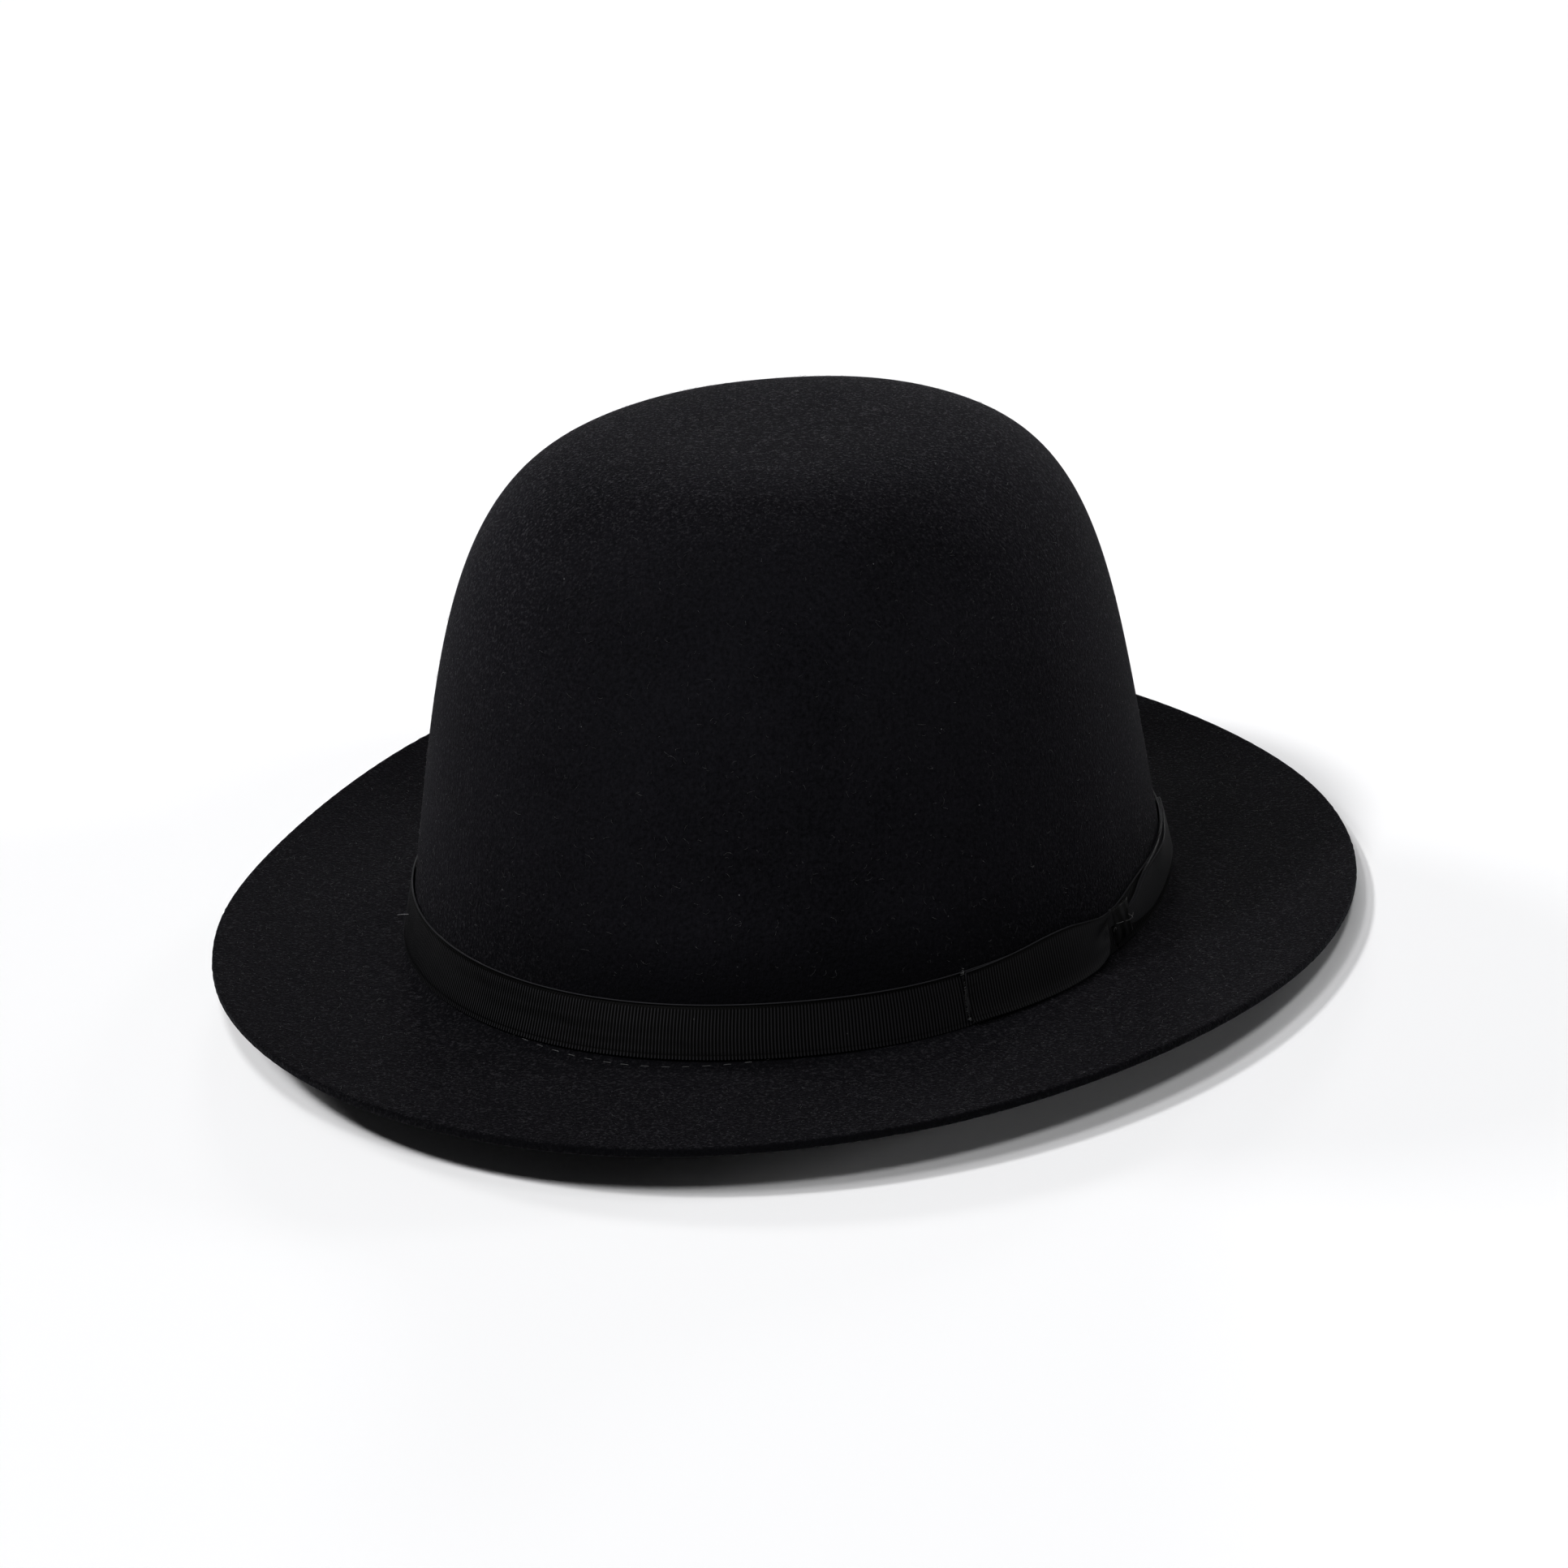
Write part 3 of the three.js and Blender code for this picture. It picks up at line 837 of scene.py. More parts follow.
def make_effects() -> Effects:
    """Makes the shader groups that several materials share.

    Returns:
        The shader groups by name.
    """
    dyes = {"Vector": None, "Dark": BLACK, "Light": shade(1.0, 1.0, 1.0)}
    dust = {"Vector": None, "Color": BLACK, "Dust": shade(0.2, 0.2, 0.2)}
    threads = {"Vector": None, "Across": 3.0, "Along": 3.0, "Color": BLACK, "Gap": BLACK}
    return {
        name: group(name, inputs, write)
        for name, inputs, write in (
            ("mottle", dyes | {"Cloud Scale": 40.0, "Fleck Scale": 900.0, "Fleck Share": 0.5}, write_mottle),
            ("lint", dust | {"Cell Scale": 500.0, "Spot Size": 0.18, "Rarity": 0.9}, write_lint),
            ("weave", threads | {"Unevenness": 0.15}, write_weave),
            ("grain", {"Vector": None, "Cell Scale": 900.0, "Color": BLACK, "Worn": BLACK}, write_grain),
        )
    }


def spaced(values: dict[str, object]) -> dict[str, object]:
    """Values by input name, with the underscores of a call turned into spaces."""
    return {key.replace("_", " "): value for key, value in values.items()}


class Easel:
    """One material that is being painted, with the shared effects and the places that textures hang on."""

    def __init__(self, name: str, effects: Effects) -> None:
        """Starts the material.

        Args:
            name: Name of the material.
            effects: Shared shader groups.
        """
        self.made = bpy.data.materials.new(name)
        self.made.use_nodes = True
        self.effects = effects
        self.sheet = Sheet(self.made.node_tree)
        self.shader = next(n for n in self.made.node_tree.nodes if n.type == "BSDF_PRINCIPLED")

    @cached_property
    def place(self) -> Socket:
        """Place in the hat's frame."""
        return self.sheet.node("TexCoord").outputs["Object"]

    @cached_property
    def strip(self) -> Socket:
        """Place along and across the strip of cloth, in millimetres."""
        return self.sheet.node("UVMap", uv_map="strip").outputs[0]

    @cached_property
    def tone(self) -> Socket:
        """Tone that the corners carry."""
        return self.sheet.node("Attribute", attribute_name="tone").outputs["Fac"]

    def effect(self, name: str, place: Socket, **inputs: object) -> bpy.types.bpy_prop_collection:
        """Outputs of a shared effect.

        Args:
            name: Name of the effect.
            place: Place that its pattern hangs on.
            **inputs: Its other sockets or values.

        Returns:
            The outputs.
        """
        return self.sheet.node("Group", {"Vector": place} | spaced(inputs), node_tree=self.effects[name]).outputs

    def fill(
        self, colour: object, rough: object, height: object, strength: object, depth: float, **uniform: object
    ) -> None:
        """Joins the shader's inputs and sets the uniform ones.

        Args:
            colour: Base colour.
            rough: Roughness.
            height: Height of the bump.
            strength: Strength of the bump.
            depth: Depth of the bump, in metres.
            **uniform: Values of the other inputs.
        """
        bump = self.sheet.node("Bump", {"Height": height, "Strength": strength, "Distance": depth}).outputs[0]
        for key, value in ({"Base Color": colour, "Roughness": rough, "Normal": bump} | spaced(uniform)).items():
            self.sheet.join(self.shader.inputs[key], value)


# Finishes


@dataclass(frozen=True)
class Finish:
    """What every finish has: a name, and a way to be painted."""

    name: str

    def material(self, effects: Effects) -> bpy.types.Material:
        """Makes the material.

        Args:
            effects: Shared shader groups.

        Returns:
            The material.
        """
        easel = Easel(self.name, effects)
        self.paint(easel)
        return easel.made

    def paint(self, easel: Easel) -> None:
        """Writes the finish on an easel."""
        raise NotImplementedError


@dataclass(frozen=True)
class FeltFinish(Finish):
    """Black fur felt: two near blacks in clouds and flecks, a soft nap that catches light at its rim, and lint.

    Where the felt is seen at a slant, a grey is painted into its colour as a painted sheen. The brim, up to
    brim_heights in metres, gets more of this painted sheen over a ground darkened as painted shade. On the crown the
    painted sheen grows towards the top, between crown_heights, as a painted highlight.
    """

    name: str = "black_fur_felt"
    dark: Shade = shade(0.0012, 0.0012, 0.0016)
    light: Shade = shade(0.0068, 0.0066, 0.0084)
    dust: Shade = shade(0.12, 0.12, 0.125)
    # Grey of the painted sheen, shown where the felt is seen at a slant.
    painted_sheen: Shade = shade(0.046, 0.0445, 0.0495)
    nap_depth: float = 0.0008
    sheen: float = 0.017
    fleck_share: float = 0.72
    rarity: float = 0.97
    brim_heights: tuple[float, float] = (0.016, 0.03)
    crown_heights: tuple[float, float] = (0.06, 0.112)

    def paint(self, easel: Easel) -> None:
        """Writes the finish on an easel.

        Args:
            easel: Easel with the empty material.
        """
        sheet, place = easel.sheet, easel.place
        cloth = easel.effect(
            "mottle", place, Dark=self.dark, Light=self.light, Cloud_Scale=38.0, Fleck_Scale=1150.0,
            Fleck_Share=self.fleck_share,
        )
        fine = easel.effect(
            "lint", place, Color=cloth["Color"], Dust=self.dust, Cell_Scale=620.0, Spot_Size=0.1, Rarity=self.rarity
        )
        # Painted sheen: a grey blended in at a slant, more on the brim and towards the crown's top as a painted
        # highlight. The brim's ground is darkened as painted shade.
        slant = sheet.math("POWER", sheet.node("LayerWeight", {"Blend": 0.5}).outputs["Facing"], 1.5)
        fur = sheet.ramp(sheet.noise(place, 1400.0, 2.0, 0.7), 0.52, 0.76)
        height = sheet.node("SeparateXYZ", {"Vector": place}).outputs["Z"]
        brim = sheet.ramp(height, *self.brim_heights, 1.0, 0.0)
        painted_light_by_height = sheet.math("MULTIPLY_ADD", brim, 0.4, sheet.ramp(height, *self.crown_heights, 0.75, 2.0))
        painted_brim_shade = sheet.blend(sheet.times(brim, 0.7), fine["Color"], self.dark)
        with_painted_sheen = sheet.blend(sheet.times(sheet.times(slant, fur), painted_light_by_height, clamp=True), painted_brim_shade, self.painted_sheen)
        brushed = sheet.noise(sheet.stretched(place, (1.0, 1.0, 0.35)), 2300.0, 3.0, 0.6)
        coarse = easel.effect(
            "lint", place, Color=with_painted_sheen, Dust=self.dust, Cell_Scale=230.0, Spot_Size=0.04, Rarity=0.95
        )
        easel.fill(
            coarse["Color"],
            sheet.ramp(cloth["Share"], 0.0, 1.0, 0.82, 0.97),
            sheet.sum_of(brushed, 0.45, cloth["Height"], 0.55),
            sheet.math("MULTIPLY_ADD", brim, 0.25, 0.8),
            self.nap_depth,
            Specular_IOR_Level=0.02, Sheen_Weight=self.sheen, Sheen_Roughness=0.32, Sheen_Tint=shade(0.86, 0.84, 1.0),
        )


@dataclass(frozen=True)
class RibbonFinish(Finish):
    """Black grosgrain: the ribs are in the mesh, and fine warp threads lie over them. The rib grooves are painted near
    black as painted shade, and the top selvedge is paler as a painted highlight.
    """

    name: str = "black_grosgrain"
    thread: Shade = shade(0.019, 0.019, 0.021)
    # Paler top selvedge: painted highlight.
    selvedge: Shade = shade(0.021, 0.021, 0.023)
    # Near black of the rib grooves: painted shade.
    gap: Shade = shade(0.0003, 0.0003, 0.0003)
    dust: Shade = shade(0.09, 0.09, 0.09)
    sheen: float = 0.03
    specular: float = 0.022

    def paint(self, easel: Easel) -> None:
        """Writes the finish on an easel.

        Args:
            easel: Easel with the empty material.
        """
        sheet = easel.sheet
        weave = easel.effect(
            "weave", easel.strip, Across=2.9, Along=2.9, Color=self.thread, Gap=darker(self.thread, 0.55),
            Unevenness=0.6,
        )
        # The tone turns the top bead to the selvedge's painted highlight and the rib grooves to painted shade.
        woven = sheet.blend(sheet.ramp(easel.tone, -0.35, -0.05), self.selvedge, weave["Color"])
        ribbed = sheet.blend(sheet.ramp(easel.tone, 0.02, 0.21), woven, self.gap)
        dusty = easel.effect(
            "lint", easel.place, Color=ribbed, Dust=self.dust, Cell_Scale=420.0, Spot_Size=0.07, Rarity=0.97
        )
        fibre = sheet.noise(sheet.stretched(easel.strip, (9.0, 0.8, 1.0)), 1.6, 3.0, 0.6)
        easel.fill(
            dusty["Color"],
            sheet.ramp(fibre, 0.3, 0.7, 0.4, 0.52),
            sheet.sum_of(weave["Height"], 0.5, fibre, 0.5),
            0.6, 0.00004,
            Specular_IOR_Level=self.specular, Sheen_Weight=self.sheen, Sheen_Roughness=0.16,
        )


@dataclass(frozen=True)
class ClothFinish(Finish):
    """Plain or satin cloth from the weave group: tape when matt, lining when glossy."""

    thread: Shade
    gap: Shade
    across: float
    along: float
    rough: tuple[float, float]
    specular: float
    sheen: float
    streak: float = 0.4

    def paint(self, easel: Easel) -> None:
        """Writes the finish on an easel.

        Args:
            easel: Easel with the empty material.
        """
        sheet = easel.sheet
        dyed = easel.effect(
            "mottle", easel.place, Dark=darker(self.thread, 0.82), Light=self.thread, Cloud_Scale=60.0,
            Fleck_Scale=700.0, Fleck_Share=0.4,
        )
        weave = easel.effect(
            "weave", easel.strip, Across=self.across, Along=self.along, Color=dyed["Color"], Gap=self.gap,
            Unevenness=0.3,
        )
        streaks = sheet.noise(sheet.stretched(easel.strip, (0.15, 6.0, 1.0)), 1.3, 3.0, 0.6)
        easel.fill(
            weave["Color"],
            sheet.ramp(streaks, 0.3, 0.7, *self.rough),
            sheet.sum_of(weave["Height"], 1 - self.streak, streaks, self.streak),
            0.5, 0.00004,
            Specular_IOR_Level=self.specular, Sheen_Weight=self.sheen,
        )


@dataclass(frozen=True)
class LeatherFinish(Finish):
    """Thin dark brown roan: small grain with pores, a little darker where it is handled."""

    name: str = "dark_brown_roan"
    dye: Shade = shade(0.018, 0.0105, 0.0075)
    worn: Shade = shade(0.032, 0.019, 0.0135)

    def paint(self, easel: Easel) -> None:
        """Writes the finish on an easel.

        Args:
            easel: Easel with the empty material.
        """
        grain = easel.effect("grain", easel.place, Cell_Scale=1100.0, Color=self.dye, Worn=self.worn)
        easel.fill(grain["Color"], grain["Roughness"], grain["Height"], 0.5, 0.00006, Specular_IOR_Level=0.45)


@dataclass(frozen=True)
class ThreadFinish(Finish):
    """Spun thread or a loose fibre: its shade comes from the tone that each strand carries."""

    dark: Shade
    pale: Shade
    rough: float = 0.6
    sheen: float = 0.2

    def paint(self, easel: Easel) -> None:
        """Writes the finish on an easel.

        Args:
            easel: Easel with the empty material.
        """
        dyed = easel.sheet.blend(easel.tone, self.dark, self.pale)
        fleck = easel.effect(
            "mottle", easel.place, Dark=darker(self.dark, 0.7), Light=dyed, Cloud_Scale=200.0, Fleck_Scale=2500.0,
            Fleck_Share=0.7,
        )
        colour = easel.sheet.blend(0.6, dyed, fleck["Color"])
        easel.fill(colour, self.rough, fleck["Height"], 0.4, 0.00003, Specular_IOR_Level=0.3, Sheen_Weight=self.sheen)


@dataclass(frozen=True)
class ReedFinish(Finish):
    """Drawn plastic cord, matt, with faint lines along it."""

    name: str = "drawn_plastic"
    dark: Shade = shade(0.018, 0.018, 0.019)
    light: Shade = shade(0.028, 0.028, 0.03)

    def paint(self, easel: Easel) -> None:
        """Writes the finish on an easel.

        Args:
            easel: Easel with the empty material.
        """
        lines = easel.sheet.noise(easel.sheet.stretched(easel.strip, (0.05, 14.0, 1.0)), 1.0)
        body = easel.effect(
            "mottle", easel.place, Dark=self.dark, Light=self.light, Cloud_Scale=90.0, Fleck_Scale=800.0,
            Fleck_Share=0.3,
        )
        easel.fill(body["Color"], easel.sheet.ramp(lines, 0.3, 0.7, 0.42, 0.55), lines, 0.3, 0.00003)


@dataclass(frozen=True)
class PaperFinish(Finish):
    """White paper: diffuse and plain."""

    name: str = "white_paper"
    sheet: Shade = shade(0.94, 0.94, 0.95)

    def paint(self, easel: Easel) -> None:
        """Writes the finish on an easel."""
        for key, value in (("Base Color", self.sheet), ("Roughness", 0.9), ("Specular IOR Level", 0.1)):
            easel.shader.inputs[key].default_value = value


class Wardrobe:
    """All materials of the hat, by the finish that each piece wears."""

    def __init__(self, effects: Effects) -> None:
        """Makes the materials.

        Args:
            effects: Shared shader groups.
        """
        self.felt = FeltFinish().material(effects)
        self.cut = FeltFinish(
            name="raw_felt_edge", dark=shade(0.001, 0.001, 0.0013), light=shade(0.0066, 0.0064, 0.008),
            nap_depth=0.0006, fleck_share=0.8, rarity=0.9, sheen=0.02,
        ).material(effects)
        self.ribbon = RibbonFinish().material(effects)
        self.hair, self.stitch, self.black_thread = (
            ThreadFinish(name, shade(*dark), shade(*pale)).material(effects)
            for name, dark, pale in (
                ("fur_fibre", (0.006, 0.006, 0.0075), (0.3, 0.3, 0.31)),
                ("sewing_thread", (0.045, 0.045, 0.047), (0.26, 0.26, 0.26)),
                # The black thread's pale shade stands for its glints: painted highlight.
                ("black_sewing_thread", (0.012, 0.012, 0.013), (0.25, 0.25, 0.25)),
            )
        )
        self.leather = LeatherFinish().material(effects)
        self.tape = ClothFinish(
            "black_tape", thread=shade(0.012, 0.012, 0.0135), gap=shade(0.004, 0.004, 0.0045), across=2.2, along=2.2,
            rough=(0.75, 0.9), specular=0.2, sheen=0.08,
        ).material(effects)
        self.reed = ReedFinish().material(effects)
        self.satin = ClothFinish(
            "dark_grey_satin", thread=shade(0.034, 0.036, 0.046), gap=shade(0.02, 0.021, 0.027), across=4.2, along=1.1,
            rough=(0.26, 0.4), specular=0.55, sheen=0.1, streak=0.75,
        ).material(effects)


def dress(piece: Piece, slot: Slot, *nodes: str) -> Piece:
    """Lets a piece ride on the hat, and lets it stand for its CAD nodes.

    Args:
        piece: Finished object.
        slot: Slot that it fills; not used.
        nodes: CAD nodes that it stands for.

    Returns:
        The same object.
    """
    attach(piece, ROOT)
    if nodes:
        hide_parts(*nodes)
    LOG.info("%s: %d faces", piece.name, len(piece.data.polygons))
    return piece


# The felt


@dataclass
class FeltBody:
    """Crown and brim in one piece, with a raw cut edge and the fibres that stand off its nap."""

    form: HatForm
    wardrobe: Wardrobe
    sectors: int = 432
    dome_rings: int = 44
    wall_rings: int = 34
    bend_rings: int = 9
    rest_rings: int = 3
    brim_rings: int = 34
    edge_rings: int = 7
    fibres: int = 8200
    fibre_radius: float = 0.02
    pale_radius: float = 0.024
    pale_share: float = 0.011
    pale_length_share: float = 0.55

    def zones(self, coarse: int) -> Floats:
        """Zones of the rings from the pole to the edge, closer together where the section bends.

        Args:
            coarse: How many of the outer rings one ring stands for.

        Returns:
            The zones, the pole left out.
        """
        rings = (self.dome_rings, self.wall_rings, self.bend_rings, self.rest_rings, self.brim_rings)
        dome, wall, bend, rest, brim = (np.linspace(0, 1, number // coarse + 1)[1:] for number in rings)
        return np.concatenate([np.sin(dome * QUARTER), 2 - np.cos(wall * QUARTER), 2 + bend, 3 + rest, 4 + brim])

    def waver(self, zone: Floats, phi: Floats) -> Floats:
        """Small unevenness of a pressed hood, in millimetres: slow ripples that fade at the pole and the bend.

        Args:
            zone: Zone.
            phi: Angle.

        Returns:
            Distance along the normal.
        """
        turn = phi / TURN
        crown = np.clip(zone, 0, 1) * smooth(2.0 - zone)
        slow = 0.16 * ripple(turn, 5, 11, 2, 7) * crown
        brim = 0.1 * ripple(turn, 6, 12, 5, 14) * smooth(zone - 4)
        return slow + brim

    def build(self) -> Piece:
        """Outer face, cut edge and inner face as one grid of rings from pole to pole.

        Returns:
            The piece.
        """
        phi = turns_of(self.sectors)
        zone, around = np.meshgrid(self.zones(1), phi, indexing="ij")
        point, normal, _ = self.form.frame(zone, around)
        outer = point + normal * self.waver(zone, around)[..., None]
        _, edge_normal, edge_down = self.form.frame(5.0, phi)
        felt, round_off = self.form.felt, self.form.cut_rounding
        depth = felt * np.linspace(0, 1, self.edge_rings + 2)[1:-1]
        corner = quarter_round(np.minimum(depth, felt - depth) / round_off)
        ragged = 0.05 * ripple(phi / TURN, 12, 21, 90, 260)
        corner, depth = corner[:, None, None], depth[:, None, None]
        edge = outer[-1] + edge_down * (round_off * corner + ragged[:, None] * corner) - edge_normal * depth
        inner_zone, inner_around = np.meshgrid(self.zones(2), phi, indexing="ij")
        inner_point, inner_normal, _ = self.form.frame(inner_zone, inner_around)
        inner = inner_point - inner_normal * (felt - self.waver(inner_zone, inner_around)[..., None])
        rings = np.concatenate([outer, edge, inner[::-1]])
        marks = np.zeros(len(rings) - 1, dtype=np.int64)
        marks[len(outer) : len(outer) + len(edge) - 1] = 1
        surface = Surface()
        surface.grid(rings, False, True, None, 0.0, marks)
        sectors = np.arange(self.sectors)
        pole, up, _ = self.form.frame(0.0, 0.0)
        surface.fan(sectors[::-1], pole)
        surface.fan(sectors + (len(rings) - 1) * self.sectors, pole - up * felt)
        piece = surface.build("felt_crown_and_brim", [self.wardrobe.felt, self.wardrobe.cut])
        return dress(piece, Slot.FELT, "felt_body")

    def hairs(self) -> Piece:
        """Loose fur fibres that lie on the nap: short arcs, both ends in the felt, a few of them pale.

        Each is point(t) = start + tangent length t + sideways bend t(1-t) + normal lift t(1-t).

        Returns:
            The piece.
        """
        draw = np.random.default_rng(7)
        count = self.fibres
        on_brim = draw.uniform(size=count) < 0.5
        zone = np.where(on_brim, 4 + draw.uniform(0.02, 0.995, count), 2 * draw.uniform(0.03, 0.93, count) ** 0.75)
        phi = draw.uniform(0, TURN, count)
        point, normal, down = self.form.frame(zone, phi)
        heading = draw.uniform(0, TURN, count)[:, None]
        tangent = down * np.cos(heading) + np.cross(normal, down) * np.sin(heading)
        across = np.cross(normal, tangent)
        length = draw.gamma(2.4, 0.36, count).clip(0.3, 2.4)
        pale = draw.uniform(size=count) < self.pale_share
        length = np.where(pale, self.pale_length_share * length, length)
        thickness = np.array([0.6, 1.0, 1.0, 0.4])
        share = np.linspace(0, 1, len(thickness))
        hump = share * (1 - share)
        bow = draw.normal(0, 0.7, count) * length
        lift = draw.uniform(0.1, 0.42, count) * np.minimum(length, 1.0)
        paths = (
            (point + normal * self.fibre_radius)[:, None]
            + tangent[:, None] * (length[:, None] * (share - 0.5))[..., None]
            + across[:, None] * (bow[:, None] * hump)[..., None]
            + normal[:, None] * (lift[:, None] * hump * 2)[..., None]
        )
        radius = np.where(pale, self.pale_radius, self.fibre_radius)[:, None] * thickness
        tones = np.where(pale, 0.05 + 0.6 * draw.uniform(0, 1, count) ** 1.8, draw.uniform(0.0, 0.05, count))
        surface = Surface()
        many_tubes(surface, paths, radius, normal, 3, tones)
        return dress(surface.build("felt_fur_fibres", [self.wardrobe.hair]), Slot.FELT)


# The ribbon and its bow

# Edges of the tail and of the loop: distance from the knot, in millimetres, and share of the ribbon's width
TAIL_LOW = (
    (2, 0.5), (4.5, 0.4), (6.5, 0.24), (9.5, 0.1), (13, 0.0), (18, -0.05), (25, -0.08), (38, -0.07), (53, -0.03)
)
TAIL_HIGH = (
    (2, 0.82), (4, 0.87), (8, 0.87), (13, 0.93), (20, 1.01), (27, 1.01), (35, 0.965), (45, 0.92), (53, 0.9)
)
LOOP_LOW = ((2, 0.36), (9, 0.27), (20, 0.22), (32, 0.25), (45, 0.27), (60, 0.17), (70, 0.08))
LOOP_HIGH = ((2, 0.58), (8, 0.63), (12, 0.7), (17, 0.86), (23, 0.97), (28, 1.0), (70, 1.0))
FIBRE_DROP, FIBRE_BEND = np.array([0.0, 0.0, -0.5]), np.array([0.3, -0.3, 0.0])


@dataclass
class RibbonForm:
    """A grosgrain ribbon laid round the crown's foot: where it lies, and how its ribs and selvedges stand."""

    form: HatForm
    width: float = 12.0
    thickness: float = 0.5
    foot: float = 1.2
    rib_pitch: float = 0.76
    rib_height: float = 0.15
    samples: int = 4
    bow_angle: float = math.radians(-12.5)

    def frame(self, phi: Floats) -> tuple[Floats, Floats, Floats]:
        """Foot, rise and outward normal of the ribbon's inner face: a straight strip that leans on the break.

        Args:
            phi: Angle.

        Returns:
            Foot, rise over the whole width, and unit normal.
        """
        fit = self.form.fit
        foot_point, foot_normal, _ = self.form.frame(self.form.zone_at(self.foot, phi), phi)
        foot = foot_point + foot_normal * fit
        head = self.form.under(self.form.zone_at(self.foot + self.width, phi), phi, -fit)
        rise = unit(head - foot) * self.width
        around = self.form.outer(2.0, phi + NUDGE) - self.form.outer(2.0, phi - NUDGE)
        return foot, rise, unit(np.cross(around, rise))

    def on(self, phi: Floats, off: Floats, share: Floats) -> Floats:
        """Point off the ribbon's outer face, at a share of its width from its foot."""
        foot, rise, normal = self.frame(phi)
        return foot + rise * np.asarray(share)[..., None] + normal * (self.thickness + np.asarray(off))[..., None]

    def middle_line(self, phi: Floats) -> Floats:
        """Line along the middle of the ribbon's outer face."""
        return self.on(phi, 0.0, 0.5)

    def rib(self, along: Floats, across: Floats) -> Floats:
        """Height of the outer face under the ribbon's full thickness, from 0 at a rib's crest to 1 in a groove.

        Ribs are |sin| arches across the ribbon. They are lower near the top selvedge, which ends in a plain bead,
        and a shallow line parts the lower selvedge from them.

        Args:
            along: Distance round the ribbon.
            across: Distance from its foot.

        Returns:
            Share of a rib's height.
        """
        wander = 0.09 * np.sin(along * 0.23) + 0.07 * np.sin(along * 0.071 + 1.3)
        lean = 0.16 * np.sin(along * 0.05 + across * 0.35)
        arch = np.abs(np.sin(math.pi * (along / self.rib_pitch + wander + lean))) ** 0.75
        strength = 1.0 - 0.3 * smooth((across - self.width + 1.2) / 0.4)
        sunk = 1 - arch * strength
        line = bell(across, 1.1, 0.15) * 0.15
        bead = smooth((across - self.width + 0.27) / 0.09)
        dip = bell(across - self.width, -0.42, 0.11) * 0.7
        # As a tone, this value paints shade into the grooves, the line and the dip, and a highlight onto the bead.
        value = np.clip(sunk + line * arch + dip * (1 - bead), 0, 1.2)
        return value * (1 - bead) - 0.4 * bead

    @staticmethod
    def press(depth: Floats, keep: Floats | float, even: float = 0.115) -> Floats:
        """Pressed ribs: keep times their depth, with an even painted shade in place of the painted groove shade that
        they lose.
        """
        return keep * depth + even * (1 - keep) ** 0.6

    def rows(self) -> Floats:
        """Places across the ribbon, close together at both selvedges, in millimetres from its foot.

        Returns:
            The distances.
        """
        w = self.width
        low = [0.0, 0.12, 0.35, 0.75, 1.0, 1.12, 1.3, 2.1]
        high = [w - 1.9, w - 1.2, w - 0.7, w - 0.42, w - 0.28, w - 0.18, w - 0.1, w - 0.03, w]
        return np.array([*low, 4.5, 7.4, *high])

    def scallop(self, along: Floats, across: Floats) -> Floats:
        """How far the lower edge draws in between the ribs, in millimetres, fading within a millimetre."""
        arch = np.abs(np.sin(math.pi * along / self.rib_pitch))
        return 0.16 * (1 - arch) * (1 - smooth(across / 0.9))


@dataclass
class HatBand:
    """The ribbon round the crown, whose ends meet under the bow."""

    ribbon: RibbonForm
    wardrobe: Wardrobe
    joint: float = 0.8
    pinch: float = 0.23
    slip: float = 0.085
    slip_middle: float = 58.0
    slip_spread: float = 30.0

    def slipped(self, along: Floats, total: float) -> Floats:
        """Share of its width by which the ribbon has slipped down, in front of the tail's cut end and under it."""
        return self.slip * bell(total - along, self.slip_middle, self.slip_spread)

    def drawn(self, share: Floats, along: Floats, total: float) -> Floats:
        """Share of the width where the knot draws the upper edge down: most beside it, less along the tail.

        Args:
            share: Share of the width, from the foot.
            along: Distance from the joint.
            total: The band's length.

        Returns:
            Share of the width, drawn down.
        """
        behind = bell(along, -2.0, 13.0)
        before = bell(total - along, 0.0, 24.0)
        pinched = share * (1 - self.pinch * np.maximum(behind, before) * np.clip(share, 0, 1) ** 2)
        return pinched - self.slipped(along, total)

    def pressed(self, along: Floats, total: float) -> Floats:
        """Share of their height that the ribs keep, less on the hat's left side, where the bow was pressed on.

        Args:
            along: Distance from the joint.
            total: The band's length.

        Returns:
            Share of the height.
        """
        before = 0.75 * smooth((along - total + 125.0) / 45.0)
        behind = 0.65 * bell(along, 0.0, 25.0)
        return 1 - np.maximum(before, behind)

    def build(self) -> Piece:
        """Ribbed outer face over a plain inner face, from one end of the ribbon to the other.

        Returns:
            The piece.
        """
        ribbon = self.ribbon
        fine = np.linspace(0, TURN, 2001) + ribbon.bow_angle
        run = chords(ribbon.middle_line(fine))
        total = run[-1] - self.joint
        ribs = round(total / ribbon.rib_pitch)
        along = np.linspace(0, total, ribs * ribbon.samples + 1)
        phi = np.interp(along + self.joint / 2, run, fine)
        across = ribbon.rows()
        u, v = np.meshgrid(along, across)
        depth = ribbon.press(ribbon.rib(u, v), self.pressed(u, total))
        clear = 3.0 * self.slipped(u, total) * (1 - v / ribbon.width) - ribbon.rib_height * depth
        outer, inner = (
            ribbon.on(phi, off, self.drawn((at + ribbon.scallop(along, at)) / ribbon.width, along, total))
            for off, at in ((clear, v), (0.12 - ribbon.thickness, np.array([[0.06], [ribbon.width - 0.03]])))
        )
        surface = shell(outer, inner, False, stacked(u, v), depth)
        piece = dress(surface.build("grosgrain_band", [self.wardrobe.ribbon]), Slot.GROSGRAIN, "hat_ribbon")
        LOG.info("band is %.1f mm long", total)
        return piece


